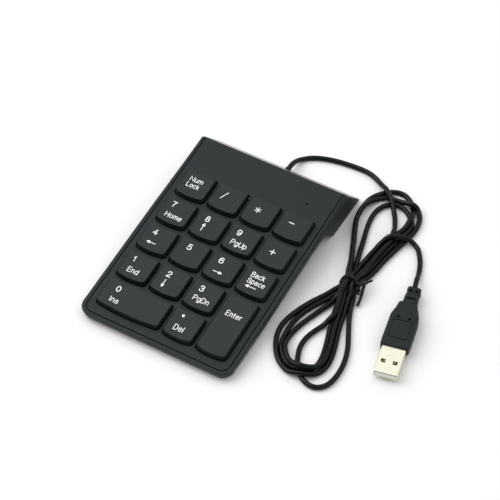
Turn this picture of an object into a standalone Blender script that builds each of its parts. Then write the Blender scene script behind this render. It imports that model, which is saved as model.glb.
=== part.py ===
"""Slim numeric keypad: 18 sprung keys on a tilted case with a slanted foot bar, and its cord folded in a hank.

World frame: metres, +Z up, the user at -Y, the desk at Z = 0, the origin under the middle of the case.
The case is modelled in its own flat frame, the empty "case_frame": X to the right, Y from the front edge
to the rear, Z = 0 on the top surface. That empty is tilted, which raises the rear.
"""

from math import cos, pi, radians, sin, tan

import bmesh
import bpy
from mathutils import Matrix, Vector

# Case, in the case frame
CASE_WIDTH = 0.0860
CASE_LENGTH = 0.1225
CASE_DEPTH = 0.0046
CASE_FLOOR = 0.0010
FRONT_CORNER = 0.0068
REAR_CORNER = 0.0012
RIM_WIDTH = 0.0022
LEDGE_WIDTH = 0.0012
COVER_THICK = 0.0012
SEAM = 0.00035
LAYER_GAP = 0.0001
TILT = radians(6.4)

# Foot bar across the rear, in the case frame
FOOT_SLOPE = tan(radians(35.3))
FOOT_FRONT = 0.0981
FOOT_INSET = 0.0004
FOOT_WALL = 0.0016
DESK_GAP_FRONT = 0.0004
DESK_GAP_REAR = 0.0005

# Keys
PITCH = 0.0190
KEY_WIDTH = 0.01565
KEY_DEPTH = 0.0154
KEY_RISE = 0.0024
KEY_SKIRT = 0.0006
KEY_TOP = 0.0010
KEY_WALL = 0.0010
KEY_BOW = 0.0011
KEY_DRAFT = 0.0005
KEY_REAR_RADIUS = 0.0007
KEY_FRONT_RADIUS = 0.0018
OPENING_MARGIN = 0.0010
FIRST_COLUMN_X = -1.5 * PITCH
FIRST_ROW_Y = 0.0914
STEM_RADIUS = 0.0017
STEM_LOW = -0.0001

# Layers under the keys: highest point of each, and thickness
DOME_SHEET_TOP = -0.0023
DOME_SHEET_THICK = 0.0003
MEMBRANE_TOP = -0.0027
MEMBRANE_THICK = 0.0003
BACKPLATE_TOP = -0.0031
BACKPLATE_THICK = 0.0004
LAYER_HALF_WIDTH = 0.0392
LAYER_FRONT = 0.0085
LAYER_REAR = 0.0992
DOME_BASE_RADIUS = 0.0035
DOME_TOP_RADIUS = 0.0018
DOME_TOP = -0.0002

# Scissor links, one crossed pair under each key
LINK_LENGTH = 0.0110
LINK_OUTER_WIDTH = 0.0124
LINK_INNER_WIDTH = 0.0098
LINK_BAR = 0.0008
LINK_TILT = radians(15.0)
LINK_CENTRE_Z = -0.00045

# Circuit board and screws
BOARD_TOP = -0.0062
BOARD_THICK = 0.0010
BOARD_HALF_WIDTH = 0.0360
BOARD_FRONT = 0.1036
BOARD_REAR = 0.1232
REAR_SCREW = (0.0300, 0.1130)
FRONT_SCREW = (0.0190, 0.0053)
POST_TOP = -0.0074
INDICATOR = (0.0270, 0.1086)

# Cord and plug, in the world frame
CORD_RADIUS = 0.00135
EXIT_X = 0.0018
EXIT_Z = 0.0050
PLUG_HEIGHT_Z = 0.0040
PLUG_SHOULDER = (0.0979, 0.0150)
PLUG_TURN = radians(11.7)
TOUCH_GAP = 0.0003

CASE_FRAME_Z = DESK_GAP_FRONT + CASE_DEPTH * cos(TILT)

# Key name, column, row from the rear, width and depth in key units
KEYS = (
    ("num_lock", 0, 0, 1, 1), ("divide", 1, 0, 1, 1), ("multiply", 2, 0, 1, 1), ("minus", 3, 0, 1, 1),
    ("seven", 0, 1, 1, 1), ("eight", 1, 1, 1, 1), ("nine", 2, 1, 1, 1), ("plus", 3, 1, 1, 1),
    ("four", 0, 2, 1, 1), ("five", 1, 2, 1, 1), ("six", 2, 2, 1, 1), ("backspace", 3, 2, 1, 1),
    ("one", 0, 3, 1, 1), ("two", 1, 3, 1, 1), ("three", 2, 3, 1, 1), ("enter", 3, 3, 1, 2),
    ("zero", 0, 4, 2, 1), ("decimal", 2, 4, 1, 1),
)

# The cord from the case to the hank, then from the hank to the plug
LEAD_ROUTE = (
    (0.0018, 0.0684, 0.0050), (0.0018, 0.0712, 0.0044), (0.0019, 0.0742, 0.0032), (0.0029, 0.0772, 0.0021),
    (0.0055, 0.0803, 0.0016), (0.0100, 0.0830, 0.0015), (0.0150, 0.0848, 0.0015), (0.0200, 0.0860, 0.0015),
    (0.0250, 0.0867, 0.0015), (0.0300, 0.0871, 0.0015), (0.0350, 0.0872, 0.0015), (0.0400, 0.0867, 0.0015),
    (0.0448, 0.0852, 0.0016), (0.0492, 0.0829, 0.0022),
)
TAIL_ROUTE = (
    (0.0812, 0.0547, 0.0030), (0.0837, 0.0523, 0.0022), (0.0862, 0.0492, 0.0017), (0.0887, 0.0450, 0.0016),
    (0.0909, 0.0403, 0.0020), (0.0926, 0.0355, 0.0030), (0.0940, 0.0305, 0.0038), (0.0949, 0.0268, 0.0040),
)
# The hank seen from above: two lobes and a waist where the tie holds it
HANK_OUTLINE = (
    (0.0600, 0.0200), (0.0580, 0.0280), (0.0530, 0.0380), (0.0485, 0.0480), (0.0463, 0.0600), (0.0470, 0.0700),
    (0.0506, 0.0775), (0.0570, 0.0818), (0.0650, 0.0812), (0.0720, 0.0765), (0.0770, 0.0715), (0.0788, 0.0640),
    (0.0787, 0.0560), (0.0775, 0.0470), (0.0745, 0.0350), (0.0725, 0.0250), (0.0715, 0.0170), (0.0720, 0.0090),
    (0.0755, -0.0020), (0.0800, -0.0110), (0.0850, -0.0200), (0.0880, -0.0300), (0.0885, -0.0390),
    (0.0860, -0.0470), (0.0805, -0.0515), (0.0740, -0.0515), (0.0670, -0.0512), (0.0590, -0.0485),
    (0.0525, -0.0420), (0.0490, -0.0340), (0.0484, -0.0250), (0.0505, -0.0140), (0.0550, -0.0030),
    (0.0590, 0.0080), (0.0602, 0.0140),
)
HANK_LOW = 0.0003
HANK_HIGH = 0.0078
WAIST_Y = (0.0155, 0.0195)
WAIST_X = (0.0616, 0.0704)
WAIST_Z = (0.0018, 0.0066)


def clear_scene():
    for thing in list(bpy.data.objects):
        bpy.data.objects.remove(thing, do_unlink=True)


def new_collection(name):
    made = bpy.data.collections.new(name)
    bpy.context.scene.collection.children.link(made)
    return made


clear_scene()
PARTS = new_collection("numeric_keypad")
CUTTERS = new_collection("cutters")
CASE_FRAME = bpy.data.objects.new("case_frame", None)
PARTS.objects.link(CASE_FRAME)
CASE_FRAME.rotation_euler = (TILT, 0, 0)


def foot_floor(y, gap=DESK_GAP_REAR):
    """Height, in the case frame, of a plane that is level in the world and this far above the desk."""
    return (gap - CASE_FRAME_Z - y * sin(TILT)) / cos(TILT)


def meeting(start, slope, gap=DESK_GAP_REAR):
    """Where a line in the YZ plane, running down at slope dy per dz, meets the level foot floor."""
    y0, z0 = start
    z = (gap - CASE_FRAME_Z - (y0 + slope * z0) * sin(TILT)) / (cos(TILT) - slope * sin(TILT))
    return y0 + slope * (z0 - z), z


FOOT_REAR_LOW = meeting((CASE_LENGTH, 0), FOOT_SLOPE)
FOOT_FRONT_LOW = meeting((FOOT_FRONT, -CASE_DEPTH), FOOT_SLOPE)
CASE_FRAME_Y = -(FOOT_REAR_LOW[0] * cos(TILT) - FOOT_REAR_LOW[1] * sin(TILT)) / 2
CASE_FRAME.location = (0, CASE_FRAME_Y, CASE_FRAME_Z)
bpy.context.view_layer.update()


def material(name, colour, roughness, metallic=0.0):
    made = bpy.data.materials.new(name)
    made.use_nodes = True
    shader = made.node_tree.nodes["Principled BSDF"]
    shader.inputs["Base Color"].default_value = (*colour, 1)
    shader.inputs["Roughness"].default_value = roughness
    shader.inputs["Metallic"].default_value = metallic
    return made


def add_object(name, mesh, look=None, at=(0, 0, 0), parent=CASE_FRAME, cutter=False):
    """Links a mesh as a sub-part, or as a cutter, which is never rendered."""
    thing = bpy.data.objects.new(name, mesh)
    (CUTTERS if cutter else PARTS).objects.link(thing)
    thing.parent = parent
    thing.location = at
    if cutter:
        thing.hide_render = True
        thing.display_type = "WIRE"
    if look:
        thing.data.materials.append(look)
    return thing


def mesh_from(bm, name, smooth_angle=radians(40)):
    bmesh.ops.recalc_face_normals(bm, faces=bm.faces)
    mesh = bpy.data.meshes.new(name)
    bm.to_mesh(mesh)
    bm.free()
    mesh.shade_smooth()
    mesh.set_sharp_from_angle(angle=smooth_angle)
    return mesh


def rounded(points, radii, steps=4):
    """An outline of points whose corners are replaced by arcs of these radii."""
    outline = []
    for i, (corner, radius) in enumerate(zip(points, radii)):
        here = Vector(corner)
        if radius == 0:
            outline.append(here)
            continue
        back = (Vector(points[i - 1]) - here).normalized()
        ahead = (Vector(points[(i + 1) % len(points)]) - here).normalized()
        half = back.angle(ahead) / 2
        centre = here + (back + ahead).normalized() * radius / sin(half)
        start = here + back * radius / tan(half) - centre
        turn = start.angle_signed(here + ahead * radius / tan(half) - centre)
        for k in range(steps + 1):
            outline.append(centre + Matrix.Rotation(-turn * k / steps, 2) @ start)
    return [(p.x, p.y) for p in outline]


def prism_mesh(name, outline, low, high, along="Z"):
    """An outline extruded from low to high. Along X, the outline lies in the YZ plane."""
    bm = bmesh.new()
    if along == "X":
        corners = [bm.verts.new((low, u, v)) for u, v in outline]
        step = Vector((high - low, 0, 0))
    else:
        corners = [bm.verts.new((u, v, low)) for u, v in outline]
        step = Vector((0, 0, high - low))
    face = bm.faces.new(corners)
    grown = bmesh.ops.extrude_face_region(bm, geom=[face])["geom"]
    bmesh.ops.translate(bm, verts=[v for v in grown if isinstance(v, bmesh.types.BMVert)], vec=step)
    return mesh_from(bm, name)


def box_mesh(name, low, high):
    corners = ((low[0], low[1]), (high[0], low[1]), (high[0], high[1]), (low[0], high[1]))
    return prism_mesh(name, corners, low[2], high[2])


def loft_mesh(name, loops):
    """A closed skin over loops of equal count, with a flat end on the first and on the last."""
    bm = bmesh.new()
    rings = [[bm.verts.new(p) for p in loop] for loop in loops]
    count = len(rings[0])
    for lower, upper in zip(rings, rings[1:]):
        for i in range(count):
            j = (i + 1) % count
            bm.faces.new((lower[i], lower[j], upper[j], upper[i]))
    bm.faces.new(rings[0])
    bm.faces.new(rings[-1])
    return mesh_from(bm, name)


def circle(radius, steps=16, centre=(0, 0)):
    return [(centre[0] + radius * cos(2 * pi * k / steps), centre[1] + radius * sin(2 * pi * k / steps))
            for k in range(steps)]


def turned_mesh(name, profile, steps=16):
    """A solid of revolution about Z from (radius, height) pairs, listed from one end to the other."""
    return loft_mesh(name, [[(x, y, z) for x, y in circle(r, steps)] for r, z in profile])


def combine(thing, other, operation="DIFFERENCE"):
    step = thing.modifiers.new(f"{operation.lower()}_{other.name}"[:60], "BOOLEAN")
    step.operation = operation
    step.object = other


def combine_all(thing, collection, operation="DIFFERENCE"):
    step = thing.modifiers.new(f"{operation.lower()}_{collection.name}"[:60], "BOOLEAN")
    step.operation = operation
    step.operand_type = "COLLECTION"
    step.collection = collection


def helper_group(name):
    group = bpy.data.collections.new(name)
    CUTTERS.children.link(group)
    return group


def add_to_group(group, name, mesh, at=(0, 0, 0), parent=CASE_FRAME):
    thing = add_object(name, mesh, at=at, parent=parent, cutter=True)
    CUTTERS.objects.unlink(thing)
    group.objects.link(thing)
    return thing


CHARCOAL = material("charcoal_plastic", (0.040, 0.043, 0.045), 0.5)
KEY_PLASTIC = material("key_plastic", (0.036, 0.039, 0.041), 0.55)
RUBBER = material("rubber", (0.02, 0.02, 0.02), 0.8)
SILICONE = material("dome_silicone", (0.55, 0.56, 0.58), 0.6)
FILM = material("membrane_film", (0.45, 0.60, 0.50), 0.3)
STEEL = material("plated_steel", (0.72, 0.70, 0.64), 0.3, 1.0)
LINK_PLASTIC = material("link_plastic", (0.80, 0.80, 0.78), 0.5)
BOARD = material("board_green", (0.02, 0.16, 0.06), 0.4)
CHIP = material("chip_black", (0.015, 0.015, 0.015), 0.5)
LAMP = material("indicator_lens", (0.30, 0.75, 0.30), 0.2)
CORD = material("cord_jacket", (0.016, 0.018, 0.019), 0.5)
TIE = material("tie_plastic", (0.012, 0.013, 0.014), 0.5)
TONGUE = material("tongue_plastic", (0.85, 0.85, 0.82), 0.5)


def case_outline(inset=0.0, rear=CASE_LENGTH, rear_corner=REAR_CORNER):
    half = CASE_WIDTH / 2 - inset
    corners = ((-half, inset), (half, inset), (half, rear), (-half, rear))
    front = FRONT_CORNER - inset
    return rounded(corners, (front, front, rear_corner, rear_corner), steps=6)


def key_outline(columns, rows, margin=0.0):
    """A key's top outline: straight rear and sides, and a front edge that bows forward."""
    half = (KEY_WIDTH + (columns - 1) * PITCH) / 2 + margin
    rear = (KEY_DEPTH + (rows - 1) * PITCH) / 2 + margin
    bow_steps = 6
    points = [(half, rear), (-half, rear)]
    for k in range(bow_steps + 1):
        across = 2 * k / bow_steps - 1
        points.append((across * half, -rear + KEY_BOW * across * across))
    rear_radius = KEY_REAR_RADIUS + margin
    front_radius = KEY_FRONT_RADIUS + margin * 0.5
    radii = [rear_radius, rear_radius, front_radius] + [0] * (bow_steps - 1) + [front_radius]
    return rounded(points, radii, steps=4)


def key_centre(column, row, columns, rows):
    return (FIRST_COLUMN_X + PITCH * (column + (columns - 1) / 2), FIRST_ROW_Y - PITCH * (row + (rows - 1) / 2))


def make_top_cover():
    """The flat key plate, which drops into the rim of the bottom case, with screw bosses under it."""
    outline = case_outline(RIM_WIDTH + SEAM)
    mesh = prism_mesh("top_cover", outline, -COVER_THICK, 0)
    for vertex in mesh.vertices:
        if vertex.co.y > CASE_LENGTH - 2 * REAR_CORNER and vertex.co.z < -COVER_THICK / 2:
            vertex.co.y += COVER_THICK * FOOT_SLOPE
    cover = add_object("top_cover", mesh, CHARCOAL)
    bosses = helper_group("cover_bosses")
    overlap = COVER_THICK / 2
    for side in (-1, 1):
        for (x, y), low, radius in ((REAR_SCREW, BOARD_TOP + LAYER_GAP, 0.0025), (FRONT_SCREW, -0.0025, 0.0016)):
            boss = prism_mesh("boss", circle(radius, 12), low, -overlap)
            add_to_group(bosses, f"boss_{side}_{y:.3f}", boss, (side * x, y, 0))
    combine_all(cover, bosses, "UNION")
    openings = helper_group("cover_openings")
    for name, column, row, columns, rows in KEYS:
        hole = prism_mesh("opening", key_outline(columns, rows, OPENING_MARGIN), -0.003, 0.003)
        add_to_group(openings, f"opening_{name}", hole, (*key_centre(column, row, columns, rows), 0))
    for side in (-1, 1):
        for (x, y), low, high in ((REAR_SCREW, -0.010, -0.0022), (FRONT_SCREW, -0.004, -0.0005)):
            pilot = prism_mesh("pilot", circle(0.00105, 10), low, high)
            add_to_group(openings, f"pilot_{side}_{y:.3f}", pilot, (side * x, y, 0))
    add_to_group(openings, "indicator_hole", prism_mesh("hole", circle(0.0007, 12), -0.003, 0.003), (*INDICATOR, 0))
    combine_all(cover, openings)


def make_bottom_case():
    """The tray under the cover, with its rim and the slanted hollow foot bar, open to the tray."""
    case = add_object("bottom_case", prism_mesh("bottom_case", case_outline(0, CASE_LENGTH - 0.0005), -CASE_DEPTH, 0),
                      CHARCOAL)
    top = -0.0001
    profile = ((CASE_LENGTH - FOOT_SLOPE * top, top), FOOT_REAR_LOW, FOOT_FRONT_LOW,
               (FOOT_FRONT, -CASE_DEPTH + 0.0001), (FOOT_FRONT, top))
    half = CASE_WIDTH / 2 - FOOT_INSET
    bar = add_object("foot_bar_solid", prism_mesh("foot_bar", profile, -half, half, "X"), cutter=True)
    combine(case, bar, "UNION")
    pockets = helper_group("case_pockets")
    ledge_z = -COVER_THICK - LAYER_GAP
    floor_z = -CASE_DEPTH + CASE_FLOOR
    inner = RIM_WIDTH + LEDGE_WIDTH
    recess = prism_mesh("recess", case_outline(RIM_WIDTH, CASE_LENGTH + 0.01, 0), ledge_z, 0.002)
    add_to_group(pockets, "cover_recess", recess)
    tray = prism_mesh("tray", case_outline(inner, FOOT_FRONT + 0.01, 0), floor_z, 0.001)
    add_to_group(pockets, "tray_hollow", tray)
    rear_shift = FOOT_WALL / cos(radians(35.3))
    roof = 0.001
    low = DESK_GAP_REAR + FOOT_WALL
    rear_top = (CASE_LENGTH - rear_shift - FOOT_SLOPE * roof, roof)
    front_edge = (FOOT_FRONT + rear_shift, -CASE_DEPTH)
    front_top = (front_edge[0] - FOOT_SLOPE * CASE_FLOOR, floor_z)
    hollow = (rear_top, meeting(rear_top, FOOT_SLOPE, low), meeting(front_edge, FOOT_SLOPE, low), front_top,
              (front_top[0], roof))
    hollow_half = CASE_WIDTH / 2 - inner
    add_to_group(pockets, "foot_hollow", prism_mesh("foot_hollow", hollow, -hollow_half, hollow_half, "X"))
    combine_all(case, pockets)
    posts = helper_group("case_posts")
    for side in (-1, 1):
        x, y = REAR_SCREW
        post = prism_mesh("post", circle(0.0030, 14), foot_floor(y) + FOOT_WALL / 2, POST_TOP)
        add_to_group(posts, f"rear_post_{side}", post, (side * x, y, 0))
        x, y = FRONT_SCREW
        boss = prism_mesh("boss", circle(0.0025, 12), floor_z - CASE_FLOOR / 2, -0.0026)
        add_to_group(posts, f"front_post_{side}", boss, (side * x, y, 0))
    combine_all(case, posts, "UNION")
    bores = helper_group("case_bores")
    for side in (-1, 1):
        x, y = REAR_SCREW
        add_to_group(bores, f"rear_bore_{side}", prism_mesh("bore", circle(0.0011, 12), -0.03, 0), (side * x, y, 0))
        pocket = prism_mesh("pocket", circle(0.0021, 12), -0.03, POST_TOP - 0.002)
        add_to_group(bores, f"rear_pocket_{side}", pocket, (side * x, y, 0))
        x, y = FRONT_SCREW
        add_to_group(bores, f"front_bore_{side}", prism_mesh("bore", circle(0.0010, 12), -0.008, 0), (side * x, y, 0))
        pocket = prism_mesh("pocket", circle(0.0018, 12), -0.008, floor_z + 0.0001)
        add_to_group(bores, f"front_pocket_{side}", pocket, (side * x, y, 0))
    for name, x, y, tall in FEET:
        pocket = prism_mesh("foot_pocket", circle(FOOT_PAD_RADIUS + 0.0002, 20), -0.01, tall)
        where = case_to_world((x, y, 0))
        if tall:
            add_to_group(bores, f"pocket_{name}", pocket, (where.x, where.y, 0), parent=None)
        else:
            shallow = prism_mesh("foot_pocket", circle(FOOT_PAD_RADIUS + 0.0002, 20), -0.01, -CASE_DEPTH + 0.0005)
            add_to_group(bores, f"pocket_{name}", shallow, (x, y, 0))
    exit_hole = add_to_group(bores, "cord_hole", prism_mesh("cord_hole", circle(0.0023, 16), 0, 0.012),
                             (EXIT_X, CORD_EXIT_Y - 0.009, EXIT_Z), parent=None)
    exit_hole.rotation_euler = (-pi / 2, 0, 0)
    combine_all(case, bores)


def case_to_world(point):
    return CASE_FRAME.matrix_world @ Vector(point)


def rear_wall_y(height):
    """Where the slanted rear wall stands, in the world, at this height above the desk."""
    low = case_to_world((0, *FOOT_REAR_LOW))
    high = case_to_world((0, CASE_LENGTH, 0))
    return low.y + (high.y - low.y) * (height - low.z) / (high.z - low.z)


CORD_EXIT_Y = rear_wall_y(EXIT_Z)

# Feet: name, X, Y in the case frame, and for the level foot bar the pocket's depth above the desk
FOOT_PAD_RADIUS = 0.0040
FEET = (
    ("foot_front_left", -0.0340, 0.0085, 0),
    ("foot_front_right", 0.0340, 0.0085, 0),
    ("foot_rear_left", -0.0370, 0.1210, 0.0012),
    ("foot_rear_right", 0.0370, 0.1210, 0.0012),
)


def make_feet():
    """Soft pads whose undersides are all level with the desk; the front ones are wedges."""
    for name, x, y, tall in FEET:
        if tall:
            mesh = prism_mesh(name, circle(FOOT_PAD_RADIUS, 20), 0, tall - 0.0002)
            where = case_to_world((x, y, 0))
            add_object(name, mesh, RUBBER, (where.x, where.y, 0), parent=None)
            continue
        top = -CASE_DEPTH + 0.0005 - LAYER_GAP
        mesh = prism_mesh(name, circle(FOOT_PAD_RADIUS, 20), top - 0.001, top)
        for vertex in mesh.vertices:
            if vertex.co.z < top - 0.0005:
                vertex.co.z = foot_floor(y + vertex.co.y, 0)
        add_object(name, mesh, RUBBER, (x, y, 0))


def make_keys():
    """Hollow caps with drafted walls and a stem over the dome. Each one's origin is on its press axis."""
    for name, column, row, columns, rows in KEYS:
        top = key_outline(columns, rows)
        skirt = key_outline(columns, rows, KEY_DRAFT)
        inner_top = key_outline(columns, rows, -KEY_WALL)
        inner_low = key_outline(columns, rows, KEY_DRAFT - KEY_WALL)
        ceiling = KEY_RISE - KEY_TOP
        loops = [
            [(x, y, ceiling) for x, y in inner_top],
            [(x, y, -KEY_SKIRT) for x, y in inner_low],
            [(x, y, -KEY_SKIRT) for x, y in skirt],
            [(x, y, KEY_RISE) for x, y in top],
        ]
        centre = (*key_centre(column, row, columns, rows), 0)
        cap = add_object(f"key_{name}", loft_mesh(f"key_{name}", loops), KEY_PLASTIC, centre)
        stem = prism_mesh("stem", circle(STEM_RADIUS, 10), STEM_LOW, ceiling + KEY_TOP / 2)
        combine(cap, add_object(f"stem_{name}", stem, at=centre, cutter=True), "UNION")


def link_frame_mesh(name, width, length, bar):
    """A flat rectangular frame of square bars, centred on the origin."""
    outer = [(x * width / 2, y * length / 2) for x, y in ((1, 1), (-1, 1), (-1, -1), (1, -1))]
    inner = [(x * (width / 2 - bar), y * (length / 2 - bar)) for x, y in ((1, 1), (-1, 1), (-1, -1), (1, -1))]
    bm = bmesh.new()
    rings = [[bm.verts.new((x, y, z)) for x, y in ring]
             for ring, z in ((inner, -bar / 2), (outer, -bar / 2), (outer, bar / 2), (inner, bar / 2))]
    for i, ring in enumerate(rings):
        after = rings[(i + 1) % len(rings)]
        for j in range(4):
            k = (j + 1) % 4
            bm.faces.new((ring[j], ring[k], after[k], after[j]))
    return mesh_from(bm, name)


def make_scissors():
    """Two frames crossed like scissors under each key, joined by their pivot pin's two ends."""
    for name, column, row, columns, rows in KEYS:
        centre = (*key_centre(column, row, columns, rows), LINK_CENTRE_Z)
        outer = add_object(f"scissor_{name}", link_frame_mesh("outer_link", LINK_OUTER_WIDTH, LINK_LENGTH, LINK_BAR),
                           LINK_PLASTIC, centre)
        outer.rotation_euler = (LINK_TILT, 0, 0)
        inner = add_object(f"inner_link_{name}", link_frame_mesh("inner_link", LINK_INNER_WIDTH, LINK_LENGTH, LINK_BAR),
                           at=centre, cutter=True)
        inner.rotation_euler = (-LINK_TILT, 0, 0)
        combine(outer, inner, "UNION")
        for side in (-1, 1):
            near, far = LINK_INNER_WIDTH / 2 - LINK_BAR * 0.6, LINK_OUTER_WIDTH / 2 - LINK_BAR * 0.4
            pin = prism_mesh("pin", [(y * 0.9, z * 0.9) for y, z in circle(LINK_BAR / 2, 6)], near, far, "X")
            pivot = add_object(f"pivot_{name}_{side}", pin, at=centre, cutter=True)
            pivot.scale = (1, 1, 1)
            if side < 0:
                pivot.rotation_euler = (0, 0, pi)
            combine(outer, pivot, "UNION")


def layer_outline(inset=0.0):
    half = LAYER_HALF_WIDTH - inset
    front, rear = LAYER_FRONT + inset, LAYER_REAR - inset
    return ((-half, front), (half, front), (half, rear), (-half, rear))


def make_layers():
    """The dome sheet, the membrane with its tail to the board, and the steel backplate."""
    sheet = add_object("dome_sheet", prism_mesh("dome_sheet", layer_outline(), DOME_SHEET_TOP - DOME_SHEET_THICK,
                                                DOME_SHEET_TOP), SILICONE)
    domes = helper_group("domes")
    root = DOME_SHEET_TOP - DOME_SHEET_THICK / 2
    knee = DOME_TOP - 0.0007
    for name, column, row, columns, rows in KEYS:
        profile = ((DOME_BASE_RADIUS, root), (DOME_TOP_RADIUS, knee), (DOME_TOP_RADIUS, DOME_TOP))
        add_to_group(domes, f"dome_{name}", turned_mesh("dome", profile, 12),
                     (*key_centre(column, row, columns, rows), 0))
    combine_all(sheet, domes, "UNION")

    low = MEMBRANE_TOP - MEMBRANE_THICK
    membrane = add_object("membrane", prism_mesh("membrane", layer_outline(0.0004), low, MEMBRANE_TOP), FILM)
    rear = LAYER_REAR - 0.0004
    board_z = BOARD_TOP + 2 * LAYER_GAP
    tail = ((rear - 0.001, low), (rear + 0.0028, low), (rear + 0.0056, board_z), (rear + 0.0086, board_z),
            (rear + 0.0086, board_z + MEMBRANE_THICK), (rear + 0.0058, board_z + MEMBRANE_THICK),
            (rear + 0.0030, MEMBRANE_TOP), (rear - 0.001, MEMBRANE_TOP))
    flap = add_object("membrane_tail", prism_mesh("membrane_tail", tail, -0.0170, 0.0050, "X"), cutter=True)
    combine(membrane, flap, "UNION")

    add_object("backplate", prism_mesh("backplate", layer_outline(0.0002), BACKPLATE_TOP - BACKPLATE_THICK,
                                       BACKPLATE_TOP), STEEL)


def make_board():
    """The circuit board between the cover's bosses and the case's posts, with what is soldered on it."""
    low = BOARD_TOP - BOARD_THICK
    board = add_object("circuit_board", box_mesh("circuit_board", (-BOARD_HALF_WIDTH, BOARD_FRONT, low),
                                                 (BOARD_HALF_WIDTH, BOARD_REAR, BOARD_TOP)), BOARD)
    holes = helper_group("board_holes")
    for side in (-1, 1):
        x, y = REAR_SCREW
        hole = prism_mesh("hole", circle(0.0012, 10), low - 0.001, BOARD_TOP + 0.001)
        add_to_group(holes, f"board_hole_{side}", hole, (side * x, y, 0))
    combine_all(board, holes)
    chip_low = BOARD_TOP + LAYER_GAP
    add_object("controller_chip", box_mesh("controller_chip", (0.0085, 0.1145, chip_low),
                                           (0.0185, 0.1205, chip_low + 0.0018)), CHIP)
    lens = ((0.0015, chip_low), (0.0015, chip_low + 0.0030), (0.0011, chip_low + 0.0038), (0.0004, chip_low + 0.0042))
    add_object("indicator_led", turned_mesh("indicator_led", lens, 12), LAMP, (*INDICATOR, 0))


def make_screws():
    for side, hand in ((-1, "left"), (1, "right")):
        x, y = REAR_SCREW
        seat = POST_TOP - 0.002 - LAYER_GAP
        profile = ((0.0012, seat - 0.0015), (0.0019, seat - 0.0011), (0.0019, seat), (0.0009, seat),
                   (0.0009, -0.0030), (0.0003, -0.0024))
        add_object(f"screw_rear_{hand}", turned_mesh("rear_screw", profile, 12), STEEL, (side * x, y, 0))
        x, y = FRONT_SCREW
        seat = -CASE_DEPTH + CASE_FLOOR
        profile = ((0.0010, seat - 0.0009), (0.0016, seat - 0.0006), (0.0016, seat), (0.0008, seat),
                   (0.0008, -0.0012), (0.0003, -0.0007))
        add_object(f"screw_front_{hand}", turned_mesh("front_screw", profile, 12), STEEL, (side * x, y, 0))


def make_strain_relief():
    """A grommet on the cord's axis: a flange inside the rear wall and a collar that shows outside it."""
    inner = CORD_EXIT_Y - 0.0072
    profile = ((0.0027, inner), (0.0027, inner + 0.0012), (0.0020, inner + 0.0014), (0.0020, CORD_EXIT_Y + 0.0022),
               (0.0017, CORD_EXIT_Y + 0.0028))
    grommet = add_object("strain_relief", turned_mesh("strain_relief", profile, 16), RUBBER,
                         (EXIT_X, 0, EXIT_Z), parent=None)
    grommet.rotation_euler = (-pi / 2, 0, 0)


def smooth_route(route, spacing):
    """Points this far apart along a smooth curve through the route (centripetal, so it never loops back)."""
    knots = [Vector(p) for p in route]
    knots = [knots[0] * 2 - knots[1]] + knots + [knots[-1] * 2 - knots[-2]]
    fine = []
    for a, b, c, d in zip(knots, knots[1:], knots[2:], knots[3:]):
        for k in range(20):
            s = k / 20
            fine.append(0.5 * (2 * b + (c - a) * s + (2 * a - 5 * b + 4 * c - d) * s ** 2
                               + (3 * b - a - 3 * c + d) * s ** 3))
    fine.append(knots[-2])
    kept = [fine[0]]
    for point in fine[1:-1]:
        if (point - kept[-1]).length >= spacing and (point - fine[-1]).length >= spacing / 2:
            kept.append(point)
    return kept + [fine[-1]]


def add_cord(name, route, look):
    curve = bpy.data.curves.new(name, "CURVE")
    curve.dimensions = "3D"
    curve.bevel_depth = CORD_RADIUS
    curve.bevel_resolution = 2
    curve.use_fill_caps = True
    points = smooth_route(route, 2.4 * CORD_RADIUS * 2)
    spline = curve.splines.new("POLY")
    spline.points.add(len(points) - 1)
    for slot, point in zip(spline.points, points):
        slot.co = (*point, 1)
    add_object(name, curve, look, parent=None)


def closed_smooth(points, between=2):
    """A closed outline through the points, with this many steps between each two."""
    knots = [Vector(p) for p in points]
    count = len(knots)
    outline = []
    for i in range(count):
        a, b, c, d = (knots[(i + k - 1) % count] for k in range(4))
        for k in range(between):
            s = k / between
            outline.append(0.5 * (2 * b + (c - a) * s + (2 * a - 5 * b + 4 * c - d) * s ** 2
                                  + (3 * b - a - 3 * c + d) * s ** 3))
    return [(p.x, p.y) for p in outline]


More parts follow.
